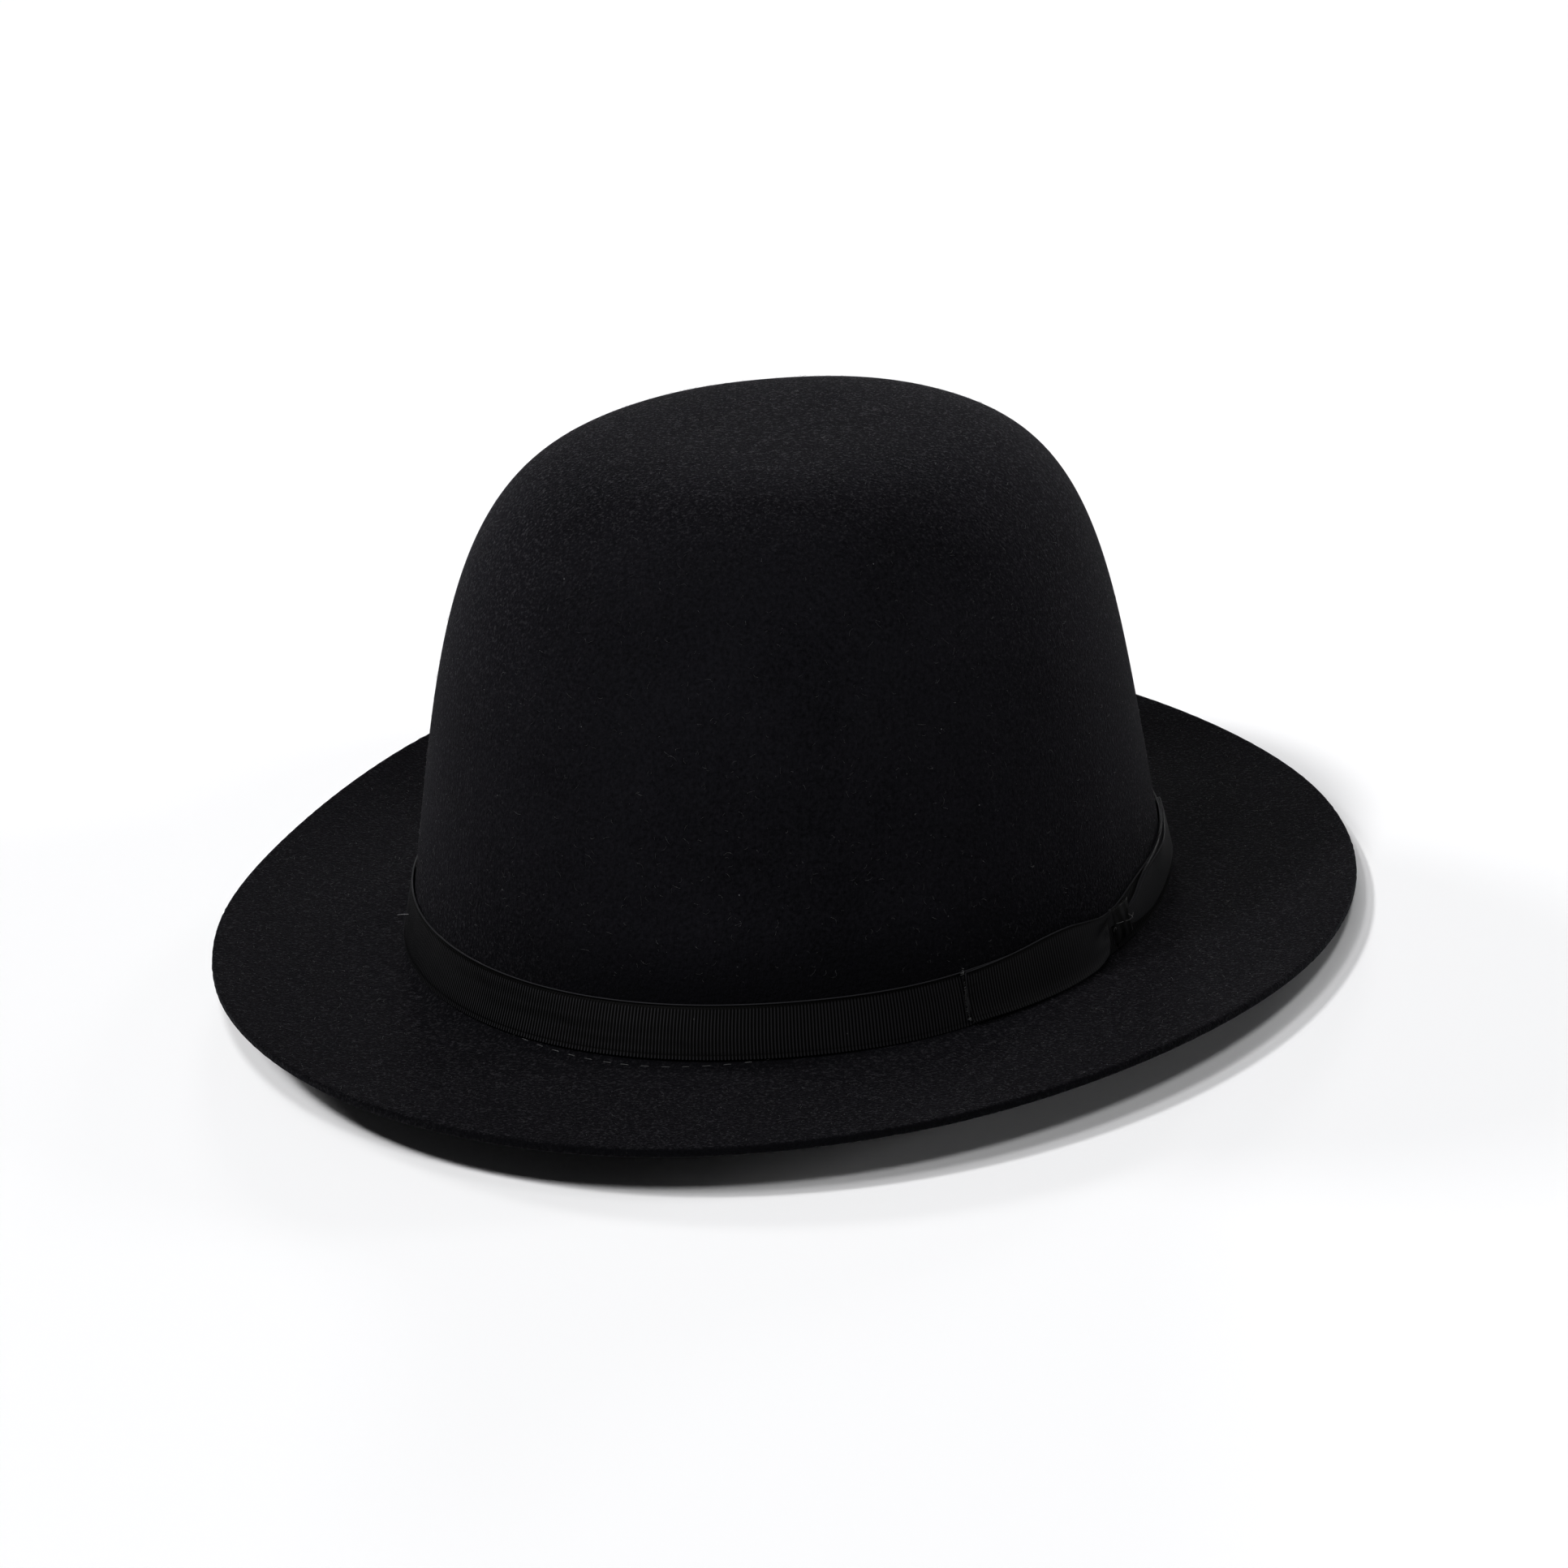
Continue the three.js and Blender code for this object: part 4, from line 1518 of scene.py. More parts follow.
@dataclass
class SideBow:
    """The flat bow on the wearer's left: a tail with a raw cut end, a folded loop, a knot and its threads."""

    ribbon: RibbonForm
    wardrobe: Wardrobe
    tail_length: float = 53.0
    loop_length: float = 70.0
    layer: float = 0.34
    knot_half: float = 5.0
    knot_shift: float = -3.3
    knot_low: float = 0.13
    knot_high: float = 0.79
    tail_crest: float = 6.4
    tail_bulge: float = 2.1
    loop_crest: float = 11.5
    loop_bulge: float = 0.95
    loop_flare: float = 0.95
    first_column: float = 0.7
    tail_gather: float = 2.8
    tail_rest: float = 0.52
    loop_gather: float = 4.5
    loop_rest: float = 0.58
    fold_rest: float = 0.22
    fold_room: float = 0.6
    fibre_angle: float = math.radians(212.0)
    fibre_share: float = 0.53
    fibre_length: float = 2.6
    fibre_radius: float = 0.07
    thread_radius: float = 0.055

    def place(self, along: Floats, off: Floats, share: Floats, side: Side) -> Floats:
        """Point at a distance from the bow's middle, off the ribbon, at a share of its width."""
        phi = angles_along(self.ribbon.middle_line, self.ribbon.bow_angle, along.ravel(), side).reshape(along.shape)
        return self.ribbon.on(phi, off, share)

    def tail_face(self, u: Floats, v: Floats) -> tuple[Floats, Floats]:
        """Height and width share of the tail's outer face: a puff beside the knot that lies down towards the cut end.

        The puff rises from the knot to its crest and sinks over a third of the tail. The width is drawn in at the
        knot and opens past it, and the middle of the puff is drawn in a little, as a pleat. The tail hangs a
        millimetre lower than the ribbon, so its lower edge stands off to clear the felt's bend.

        Args:
            u: Distance from the knot's middle, in millimetres.
            v: Share of the width, from its foot.

        Returns:
            Height off the ribbon and share of the ribbon's width.
        """
        early = u + 2.2 * v**3 - 2.6 * np.exp(-v / 0.14)
        rise = smooth((early - self.tail_gather) / (self.tail_crest - self.tail_gather))
        fall = 1 - smooth((u - self.tail_crest) / 27.0)
        pleat = 0.7 * bell(v, 0.55, 0.17) * bell(u, self.tail_crest, 3.8)
        lie = self.tail_rest + 0.14 * smooth((u - 40) / 12) * np.abs(v - 0.5) + 0.5 * np.exp(-v / 0.09)
        off = lie + (self.tail_bulge - self.tail_rest) * rise * fall * (1 - pleat)
        off = np.where(u < self.tail_crest, mix(0.34, off, rise), off)
        return off, mix(through(u, TAIL_LOW), through(u, TAIL_HIGH), v)

    def loop_face(self, u: Floats, v: Floats) -> tuple[Floats, Floats]:
        """Height and width share of the loop's outer layer: drawn in at the knot, its upper edge flaring half way.

        Args:
            u: Distance from the knot's middle, in millimetres.
            v: Share of the width, from its foot.

        Returns:
            Height off the ribbon and share of the ribbon's width.
        """
        rise = smooth((u - self.loop_gather) / (self.loop_crest - self.loop_gather))
        settle = 1 - 0.8 * smooth((u - self.loop_crest) / 34.0)
        flare = self.loop_flare * bell(u, 37.0, 11.0) * v**2.5
        dome = 0.08 * np.sin(v * math.pi) * rise
        off = self.loop_rest + (self.loop_bulge - self.loop_rest) * rise * settle + flare + dome
        return off, mix(through(u, LOOP_LOW), through(u, LOOP_HIGH), v)

    def columns(self, end: float) -> Floats:
        """Distances of the columns, several to each rib."""
        count = round((end - self.first_column) / self.ribbon.rib_pitch) * self.ribbon.samples
        return np.linspace(self.first_column, end, count + 1)

    def cut_end(self, v: Floats) -> Floats:
        """How far the raw end stops short of a straight line: a slight bulge, a nick above it and rounded corners.

        Args:
            v: Share of the width, from its foot.

        Returns:
            Distance, in millimetres.
        """
        bulge = 0.45 * bell(v, 0.33, 0.2)
        nick = 0.35 * bell(v, 0.76, 0.06)
        corners = 0.75 * smooth((v - 0.94) / 0.06) ** 2 + 0.3 * smooth((0.05 - v) / 0.05)
        return 0.45 - bulge + nick + corners + 0.05 * np.sin(v * 23.0)

    def tail(self) -> Piece:
        """The tail, from under the knot to its raw cut end: a ribbed outer face over a plain inner face.

        Returns:
            The piece.
        """
        ribbon = self.ribbon
        along = self.columns(self.tail_length)
        rows = np.unique(np.concatenate([ribbon.rows() / ribbon.width, np.linspace(0.17, 0.83, 9)]))
        u, v = np.meshgrid(along, rows)
        u = u - self.cut_end(v) * smooth((u - along[-1] + 6.0) / 6.0)
        off, share = self.tail_face(u, v)
        keep = 0.32 - 0.26 * np.exp(-((u / 24.0) ** 4))
        depth = ribbon.press(ribbon.rib(u, v * ribbon.width), keep)
        outer = self.place(u, off + self.layer / 2 - ribbon.rib_height * 0.85 * depth, share, Side.FORWARD)
        back = u[[0, len(rows) // 2, -1]]
        back_off, back_share = self.tail_face(back, np.array([[rows[0] + 0.004], [0.5], [rows[-1] - 0.004]]))
        inner = self.place(back, back_off - self.layer / 2, back_share, Side.FORWARD)
        surface = shell(outer, inner, False, stacked(u, v * ribbon.width), depth)
        piece = dress(surface.build("bow_cut_tail", [self.wardrobe.ribbon]), Slot.GROSGRAIN, "bow_front_tail")
        return piece

    def loop(self) -> Piece:
        """The loop: its outer layer to the fold, round the fold, and its inner layer back to the knot.

        Returns:
            The piece.
        """
        ribbon = self.ribbon
        rows = ribbon.rows() / ribbon.width
        end, low = self.loop_length - self.fold_room, self.fold_rest
        u, v = np.meshgrid(self.columns(end), rows)
        off, share = self.loop_face(u, v)
        radius = (off[:, -1:] - low) / 2
        fold = np.linspace(0, math.pi, 9)[1:-1]
        fold_u = end + radius * np.sin(fold)
        fold_off = low + radius + radius * np.cos(fold)
        all_u = np.concatenate([u, fold_u, u[:, ::-4]], 1)
        all_off = np.concatenate([off, fold_off, np.full_like(u[:, ::-4], low)], 1)
        all_share = np.concatenate([share, np.broadcast_to(share[:, -1:], fold_u.shape), share[:, ::-4]], 1)
        all_v = np.broadcast_to(v[:, :1], all_u.shape)
        run = summed(np.hypot(np.diff(all_u[5]), np.diff(all_off[5])))
        side_u, side_off = square_to(all_u, all_off)
        # A lower even shade leaves the loop lighter than the band: painted light.
        depth = ribbon.press(ribbon.rib(run, all_v * ribbon.width), 0.12, 0.06)
        half = self.layer / 2
        lift = half - ribbon.rib_height * depth
        outer = self.place(all_u + side_u * lift, all_off + side_off * lift, all_share, Side.BACKWARD)
        inner_u, inner_off = all_u - side_u * half, all_off - side_off * half
        pick = [0, len(rows) // 2, len(rows) - 1]
        inner = self.place(inner_u[pick], inner_off[pick], all_share[pick], Side.BACKWARD)
        surface = shell(outer, inner, False, stacked(run, all_v * ribbon.width), depth)
        piece = dress(surface.build("bow_folded_loop", [self.wardrobe.ribbon]), Slot.GROSGRAIN, "bow_rear_loop")
        return piece

    def knot(self) -> Piece:
        """The knot: a gathered strap over the pinched ribbons, tucked in above and below them, darkened as painted
        shade.

        Returns:
            The piece.
        """
        t, w = np.meshgrid(np.linspace(math.pi, 0, 41), np.linspace(-1, 1, 33))
        middle, half = (self.knot_low + self.knot_high) / 2, (self.knot_high - self.knot_low) / 2
        cos, sin = np.cos(t), np.clip(np.sin(t), 0, 1)
        share = middle + half * np.sign(cos) * np.abs(cos) ** 0.55
        dome = 1 - np.abs(w) ** 3
        pleats = 0.06 * np.cos(w * math.pi * 2.6 + 0.9 * np.sin(t * 2)) * sin**0.3 * dome
        height = 0.16 + (0.24 + 0.7 * dome) * sin**0.5 + 0.07 * np.sin(t * 5 + w * 2) * dome * sin
        along = w * self.knot_half * (1 - 0.12 * sin**2) - self.knot_shift
        outer = self.place(along, height + pleats, share, Side.BACKWARD)
        inner = self.place(
            along[::8] * 0.99, np.maximum(height[::8] - 0.42, 0.03), middle + (share[::8] - middle) * 0.93,
            Side.BACKWARD,
        )
        # High tones turn the knot near black as painted shade, darkest in the valleys of its pleats.
        folds = 0.14 + 0.1 * smooth(0.5 - pleats / 0.13)
        surface = shell(outer, inner, False, stacked(w * self.knot_half, t * 3.0), folds)
        return dress(surface.build("bow_gathered_knot", [self.wardrobe.ribbon]), Slot.GROSGRAIN, "bow_knot")

    def path(self, points: Sequence[tuple[float, float, float]], count: int = 24) -> Floats:
        """Smooth path through points given as distance towards the back, height off the ribbon and width share."""
        knots, fine = np.linspace(0, 1, len(points)), np.linspace(0, 1, count)
        return self.place(*(through(fine, list(zip(knots, column))) for column in zip(*points)), Side.BACKWARD)

    def threads(self) -> Piece:
        """Ends of the thread that ties the bow, and the stitches over the knot.

        Returns:
            The piece.
        """
        surface = Surface()
        turns = [math.radians(a) for a in range(-20, 260, 40)]
        ring = [(-2.5 + 0.55 * math.cos(a), 1.5 + 0.1 * math.sin(a), 0.45 + 0.04 * math.sin(a)) for a in turns]
        # Tones lift the black thread towards its pale shade as painted glints.
        runs = [
            ([(-1.0, 1.2, 0.53), (0.5, 1.45, 0.505), (2.0, 1.4, 0.48)], 0.16),
            ([(3.4, 1.25, 0.45), (5.5, 1.35, 0.42), (7.0, 1.35, 0.435), (8.4, 1.0, 0.47)], 0.08),
            ([(5.4, 1.2, 0.53), (6.5, 1.45, 0.46), (7.6, 1.1, 0.38)], 0.16),
            (ring, 0.1),
        ]
        for points, tone in runs:
            path = self.path(points)
            above = np.broadcast_to(self.ribbon.frame(np.full(1, self.ribbon.bow_angle))[2][0], path.shape)
            tube(surface, path, self.thread_radius, above, 6, False, tone)
        return dress(surface.build("bow_tying_threads", [self.wardrobe.black_thread]), Slot.GROSGRAIN)

    def loose_fibre(self) -> Piece:
        """One pale fibre that stands off the ribbon on the wearer's right.

        Returns:
            The piece.
        """
        phi = np.full(1, self.fibre_angle)
        start, outward = self.ribbon.on(phi, 0.0, self.fibre_share), self.ribbon.frame(phi)[2]
        t = np.linspace(0, 1, 12)[:, None]
        path = start + outward * self.fibre_length * t + FIBRE_DROP * t**1.5 + FIBRE_BEND * t * (1 - t)
        surface = Surface()
        tube(surface, path, self.fibre_radius * (1 - 0.4 * t[:, 0]), np.broadcast_to(UP, path.shape), 5, False, 1.0)
        return dress(surface.build("loose_pale_fibre", [self.wardrobe.hair]), Slot.GROSGRAIN)

    def frays(self) -> Piece:
        """Loose threads at the raw cut end: fine arcs that leave the edge, with a tuft at both corners.

        Returns:
            The piece.
        """
        draw = np.random.default_rng(31)
        even = np.linspace(0.03, 0.97, 30)
        tufts = np.concatenate([draw.normal(0.9, 0.03, 4), draw.normal(0.03, 0.02, 9)]).clip(0.0, 1.0)
        share = np.concatenate([even, tufts])
        count = len(share)
        tuft = np.arange(count) >= len(even)
        length = np.where(tuft, draw.uniform(0.3, 0.9, count), draw.uniform(0.15, 0.5, count))
        end = self.tail_length - self.cut_end(share)
        t = np.linspace(0, 1, 6)
        bend = draw.normal(0, 0.012, count)
        lift = draw.uniform(-0.1, 0.35, count) * length
        along = end[:, None] - 0.25 + (length[:, None] + 0.25) * t
        off = 0.55 + lift[:, None] * t**1.5
        width = 0.005 + 0.99 * share[:, None] + bend[:, None] * t**1.4
        paths = self.place(along, off, width, Side.FORWARD)
        across = np.broadcast_to(self.ribbon.frame(np.full(1, self.ribbon.bow_angle))[2], (count, 3))
        radius = draw.uniform(0.03, 0.055, count)[:, None] * np.linspace(1.0, 0.5, 6)[None]
        tones = np.where(tuft, draw.uniform(0.1, 0.4, count), draw.uniform(0.1, 0.4, count))
        surface = Surface()
        many_tubes(surface, paths, radius, across, 4, tones)
        return dress(surface.build("bow_frayed_threads", [self.wardrobe.black_thread]), Slot.GROSGRAIN)


# Sewing


@dataclass
class Stitches:
    """A row of short stitches of two-ply thread: two strands that wind round each other along a shallow arch."""

    form: HatForm
    wardrobe: Wardrobe
    length: float = 1.9
    pitch: float = 4.5
    ply: float = 0.068
    twists: float = 1.75
    tones: tuple[float, float] = (0.02, 0.3)
    seed: int = 20
    rings: int = 15
    sides: int = 5

    def row(self, zone_of: Callable[[Floats], Floats]) -> Piece:
        """One row round the hat, on the felt's outer face.

        Args:
            zone_of: Zone of the row at each angle.

        Returns:
            The piece.
        """
        draw = np.random.default_rng(self.seed)
        fine = np.linspace(0, TURN, 2001)
        run = chords(self.form.outer(zone_of(fine), fine))
        count = round(run[-1] / self.pitch)
        starts = (np.arange(count) + draw.uniform(-0.06, 0.06, count)) * run[-1] / count
        lengths = self.length * draw.uniform(0.85, 1.12, count)
        t = np.linspace(0, 1, self.rings)
        phi = np.interp((starts[:, None] + lengths[:, None] * (t - 0.5)) % run[-1], run, fine)
        point, normal, down = self.form.frame(zone_of(phi), phi)
        arch = self.ply * (0.9 * np.sqrt(np.clip(1 - (2 * t - 1) ** 4, 0, 1)) - 0.75 * np.abs(2 * t - 1) ** 6)
        centre = point + normal * (arch + 0.02)[None, :, None]
        surface = Surface()
        for strand in (0.0, 0.5):
            angle = TURN * (self.twists * t + strand)
            paths = centre + 0.55 * self.ply * (down * np.cos(angle)[:, None] + normal * np.sin(angle)[:, None])
            beads = 0.3 + 0.75 * np.abs(np.sin(math.pi * (3.5 * t + 0.1)))
            plump = beads * np.clip(1.15 - np.abs(2 * t - 1) ** 8, 0.3, 1)
            radius = np.broadcast_to(0.62 * self.ply * plump, (count, self.rings))
            many_tubes(surface, paths, radius, normal[:, 0], self.sides, draw.uniform(*self.tones, count))
        return dress(surface.build("brim_sewing_stitches", [self.wardrobe.stitch]), Slot.FELT)


# The inside


@dataclass
class Inside:
    """What the hat holds: the leather with its reed and tapes, and the satin lining."""

    form: HatForm
    wardrobe: Wardrobe
    lining: float = 0.3
    seam_tape: float = 0.3
    leather: float = 0.9
    leather_top: float = 46.0
    joint: float = 0.6
    reed_radius: float = 0.7
    reed_height: float = 3.1
    tape: float = 0.4
    tape_leg: float = 4.0
    tape_run: float = 600.0
    zigzag_foot: float = 9.0
    zigzag_pitch: float = 1.7
    zigzag_sway: float = 1.9
    zigzag_thread: float = 0.13
    seam_width: float = 14.0
    seam_foot: float = 12.0
    seam_top: float = 42.0
    lining_foot: float = 10.0
    lining_seam: float = 0.9
    piping: float = 1.0

    @property
    def lining_depth(self) -> float:
        """Depth of the lining's outer side."""
        return self.form.felt + self.form.fit

    @property
    def seam_depth(self) -> float:
        """Depth of the seam tape's outer side."""
        return self.lining_depth + self.lining + self.form.fit

    @property
    def leather_depth(self) -> float:
        """Depth of the leather's outer side."""
        return self.seam_depth + self.seam_tape + self.form.fit

    @property
    def leather_middle(self) -> float:
        """Depth of the leather's middle."""
        return self.leather_depth + self.leather / 2

    def reed_zone(self, phi: Floats) -> Floats:
        """Zone of the reed."""
        return self.form.zone_at(self.reed_height, phi)

    def zone_over_reed(self, phi: Floats, distance: float) -> Floats:
        """Zone of the leather's middle at a distance above the reed, by summed chords down the section.

        Args:
            phi: Angles.
            distance: Distance, in millimetres.

        Returns:
            The zone at each angle.
        """
        zones = np.linspace(0, 0.9, 120)[:, None] * -1.0 + self.reed_zone(phi)[None]
        points = self.form.under(zones, phi, self.leather_middle)
        steps = np.linalg.norm(np.diff(points, axis=0), axis=2)
        run = np.concatenate([np.zeros((1, len(phi))), np.cumsum(steps, axis=0)])
        past = (run < distance).sum(0).clip(1, len(zones) - 1)
        column = np.arange(len(phi))
        low, high = run[past - 1, column], run[past, column]
        share = (distance - low) / np.maximum(high - low, 1e-9)
        return mix(zones[past - 1, column], zones[past, column], share)

    def sweatband(self) -> Piece:
        """The leather strip: rounded top edge, small soft waves, and a sewn joint at the back.

        Returns:
            The piece.
        """
        form = self.form
        fine = np.linspace(0, TURN, 1201) + BACK
        run = chords(form.under(2.0, fine, self.leather_depth))
        phi = np.interp(np.linspace(self.joint / 2, run[-1] - self.joint / 2, 361), run, fine)
        foot = self.zone_over_reed(phi, self.reed_radius + form.fit)
        head = form.zone_at(self.leather_top, phi)
        share = np.concatenate([[0.0, 0.004, 0.012, 0.03], np.linspace(0.06, 1, 18)])[:, None]
        zone = mix(head, foot, share)
        wave = 0.22 * ripple((phi - BACK) / TURN, 6, 41, 3, 12) * smooth(1 - share * 1.4) * smooth(share * 30)
        edge = quarter_round(share / 0.014) * self.leather / 2
        inward = form.under(zone, phi, self.leather_middle + edge + np.abs(wave))
        outward = form.under(zone, phi, self.leather_middle - edge + np.abs(wave) * 0.5)
        surface = shell(inward, outward, False, stacked(np.interp(phi, fine, run), share * self.leather_top))
        return dress(surface.build("leather_sweatband", [self.wardrobe.leather]), Slot.LEATHER, "sweatband")

    def reed(self) -> Piece:
        """The reed: a round cord inside the tape, all the way round.

        Returns:
            The piece.
        """
        phi = turns_of(360)
        point, normal, _ = self.form.frame(self.reed_zone(phi), phi)
        surface = Surface()
        tube(surface, point - normal * self.leather_middle, self.reed_radius, normal, 12, True)
        return dress(surface.build("sweatband_plastic_reed", [self.wardrobe.reed]), Slot.REED, "sweatband_reed")

    def reed_tape(self) -> Piece:
        """The tape: folded under the reed, with a leg up each side of the leather.

        Returns:
            The piece.
        """
        phi = turns_of(480)
        leg_top = self.zone_over_reed(phi, self.tape_leg)
        point, normal, down = self.form.frame(self.reed_zone(phi), phi)
        centre = point - normal * self.leather_middle
        inner_radius = self.reed_radius + self.form.fit
        bend = np.linspace(0, math.pi, 11)[:, None, None]
        lines = []
        for radius in (inner_radius, inner_radius + self.tape):
            legs = []
            for leg in (-radius, radius):
                upper = self.form.under(leg_top, phi, self.leather_middle + leg)
                legs.append(mix(upper, centre - normal * leg, np.linspace(0, 1, 5)[:-1, None, None]))
            arc = centre + radius * (normal * np.cos(bend) + down * np.sin(bend))
            lines.append(np.concatenate([legs[0], arc, legs[1][::-1]]))
        width = np.linspace(0, 2 * self.tape_leg + math.pi * inner_radius, len(lines[1]))
        run = np.arange(len(phi)) * self.tape_run / len(phi)
        surface = shell(lines[1], lines[0], True, stacked(run, width[:, None]))
        piece = dress(surface.build("sweatband_reed_tape", [self.wardrobe.tape]), Slot.TAPE, "reed_tape")
        return piece

    def beside_joint(self, distances: Floats, depth: float) -> Floats:
        """Angles at distances from the leather's joint, measured round its foot at a depth."""
        return angles_along(lambda phi: self.form.under(2.0, phi, depth), BACK, distances, Side.BACKWARD)

    def joint_tape(self) -> Piece:
        """The short tape behind the joint of the leather.

        Returns:
            The piece.
        """
        form = self.form
        along = np.linspace(-self.seam_width / 2, self.seam_width / 2, 29)
        phi = self.beside_joint(along, self.seam_depth)
        head, foot = form.zone_at(self.seam_top, phi), form.zone_at(self.seam_foot, phi)
        share = np.linspace(0, 1, 31)[:, None]
        zone = mix(head, foot, share)
        nearer = form.under(zone, phi, self.seam_depth + self.seam_tape)
        farther = form.under(zone, phi, self.seam_depth)
        height = self.seam_top - self.seam_foot
        surface = shell(nearer, farther, False, stacked(along, share * height))
        piece = dress(surface.build("sweatband_joint_tape", [self.wardrobe.tape]), Slot.TAPE, "sweatband_seam_tape")
        return piece

    def joint_stitches(self) -> Piece:
        """Zigzag of thread across the joint of the leather, on its inner face.

        Returns:
            The piece.
        """
        face = self.leather_depth + self.leather
        pitch = self.zigzag_pitch
        heights = np.arange(self.zigzag_foot, self.leather_top - 1.5, pitch)
        turns = np.repeat(heights, 6)[:-5] + np.tile(np.arange(6) * pitch / 6, len(heights))[:-5]
        sway = self.zigzag_sway * (2 * np.abs((turns - self.zigzag_foot) / pitch % 2 - 1) - 1)
        phi = self.beside_joint(sway, face)
        point, normal, _ = self.form.frame(self.form.zone_at(turns, phi), phi)
        path = point - normal * (face + 0.12)
        surface = Surface()
        tube(surface, path, self.zigzag_thread, normal, 6, False, 0.35)
        return dress(surface.build("sweatband_joint_zigzag", [self.wardrobe.stitch]), Slot.LEATHER)

    def lining_cloth(self, zone: Floats, phi: Floats, folds: Floats, places: Floats) -> Surface:
        """A closed sheet of satin under the felt, with folds that only come inwards.

        Args:
            zone: Zones, rows by columns.
            phi: Angles, rows by columns.
            folds: Height of the folds, rows by columns.
            places: Distances along the weave, rows by columns.

        Returns:
            The sheet, closed at the pole if it reaches it.
        """
        nearer = self.form.under(zone, phi, self.lining_depth + self.lining + folds)
        farther = self.form.under(zone, phi, self.lining_depth + folds * 0.8)
        if zone[0, 0] > 0:
            return shell(nearer, farther, True, places)
        surface = Surface()
        rings, laid = (np.concatenate([x[1:], y[:0:-1]]) for x, y in ((nearer, farther), (places, places)))
        surface.grid(rings, False, True, laid)
        ring = np.arange(zone.shape[1])
        surface.fan(ring[::-1], nearer[0].mean(0), places[1].mean(0))
        surface.fan(ring + (len(rings) - 1) * len(ring), farther[0].mean(0), places[1].mean(0))
        return surface

    def seam_shift(self, sign: float) -> float:
        """Zone beside the piping at which a sheet of the lining ends.

        Args:
            sign: 1 below the piping and -1 above it.

        Returns:
            The zone.
        """
        zones = np.linspace(0, 0.2, 400) * sign + self.lining_seam
        run = chords(self.form.under(zones, FRONT, self.lining_depth))
        return float(np.interp(self.piping + self.form.fit, run, zones))

    def lining_tip(self) -> Piece:
        """The oval tip: flat satin with faint puckers at its seam.

        Returns:
            The piece.
        """
        phi = turns_of(300)
        rim = self.seam_shift(-1.0)
        zones = np.concatenate([[0.0], np.linspace(0.02, rim, 60)])
        zone, around = np.meshgrid(zones, phi, indexing="ij")
        reach = zone / rim
        pucker = 0.16 * np.abs(ripple(around / TURN, 5, 51, 30, 70)) * smooth((reach - 0.6) / 0.4)
        slack = 0.35 * np.abs(ripple(around / TURN, 4, 52, 2, 5)) * np.sin(np.clip(reach, 0, 1) * math.pi)
        points = self.form.outer(zone, around)
        surface = self.lining_cloth(zone, around, pucker + slack, points[..., :2])
        piece = dress(surface.build("lining_oval_tip", [self.wardrobe.satin]), Slot.SATIN, "lining_tip")
        return piece

    def lining_side(self) -> Piece:
        """The side band: satin gathered under the piping, falling in soft folds behind the leather.

        Returns:
            The piece.
        """
        phi = turns_of(420)
        start = self.seam_shift(1.0)
        foot = self.form.zone_at(self.lining_foot, phi)
        share = np.linspace(0, 1, 48)[:, None]
        zone = mix(start, foot, share)
        around = np.broadcast_to(phi, zone.shape)
        turn = around / TURN
        gather = 0.3 * np.abs(ripple(turn, 6, 61, 40, 95)) * bell(share, 0.0, 0.14)
        drape = 0.8 * np.abs(ripple(turn, 5, 62, 5, 16)) * smooth(share / 0.18) * smooth((0.58 - share) / 0.2)
        points = self.form.outer(zone, around)
        chord = np.linalg.norm(points - np.roll(points, 1, 1), axis=2).sum(1).max()
        drop = np.linalg.norm(np.diff(points[:, 0], axis=0), axis=1).sum()
        surface = self.lining_cloth(zone, around, gather + drape, stacked(turn * chord, share * drop))
        piece = dress(surface.build("lining_side_band", [self.wardrobe.satin]), Slot.SATIN, "lining_side")
        return piece

    def lining_piping(self) -> Piece:
        """The piping between tip and side band: a cord in satin, with the small wrinkles of its cover.

        Returns:
            The piece.
        """
        phi = turns_of(720)
        point, normal, _ = self.form.frame(np.full_like(phi, self.lining_seam), phi)
        centre = point - normal * (self.lining_depth + self.piping)
        radius = self.piping * (0.96 + 0.035 * np.sin(phi * 260))
        surface = Surface()
        tube(surface, centre, radius, normal, 14, True)
        return dress(surface.build("lining_piping_cord", [self.wardrobe.satin]), Slot.SATIN, "lining_piping")


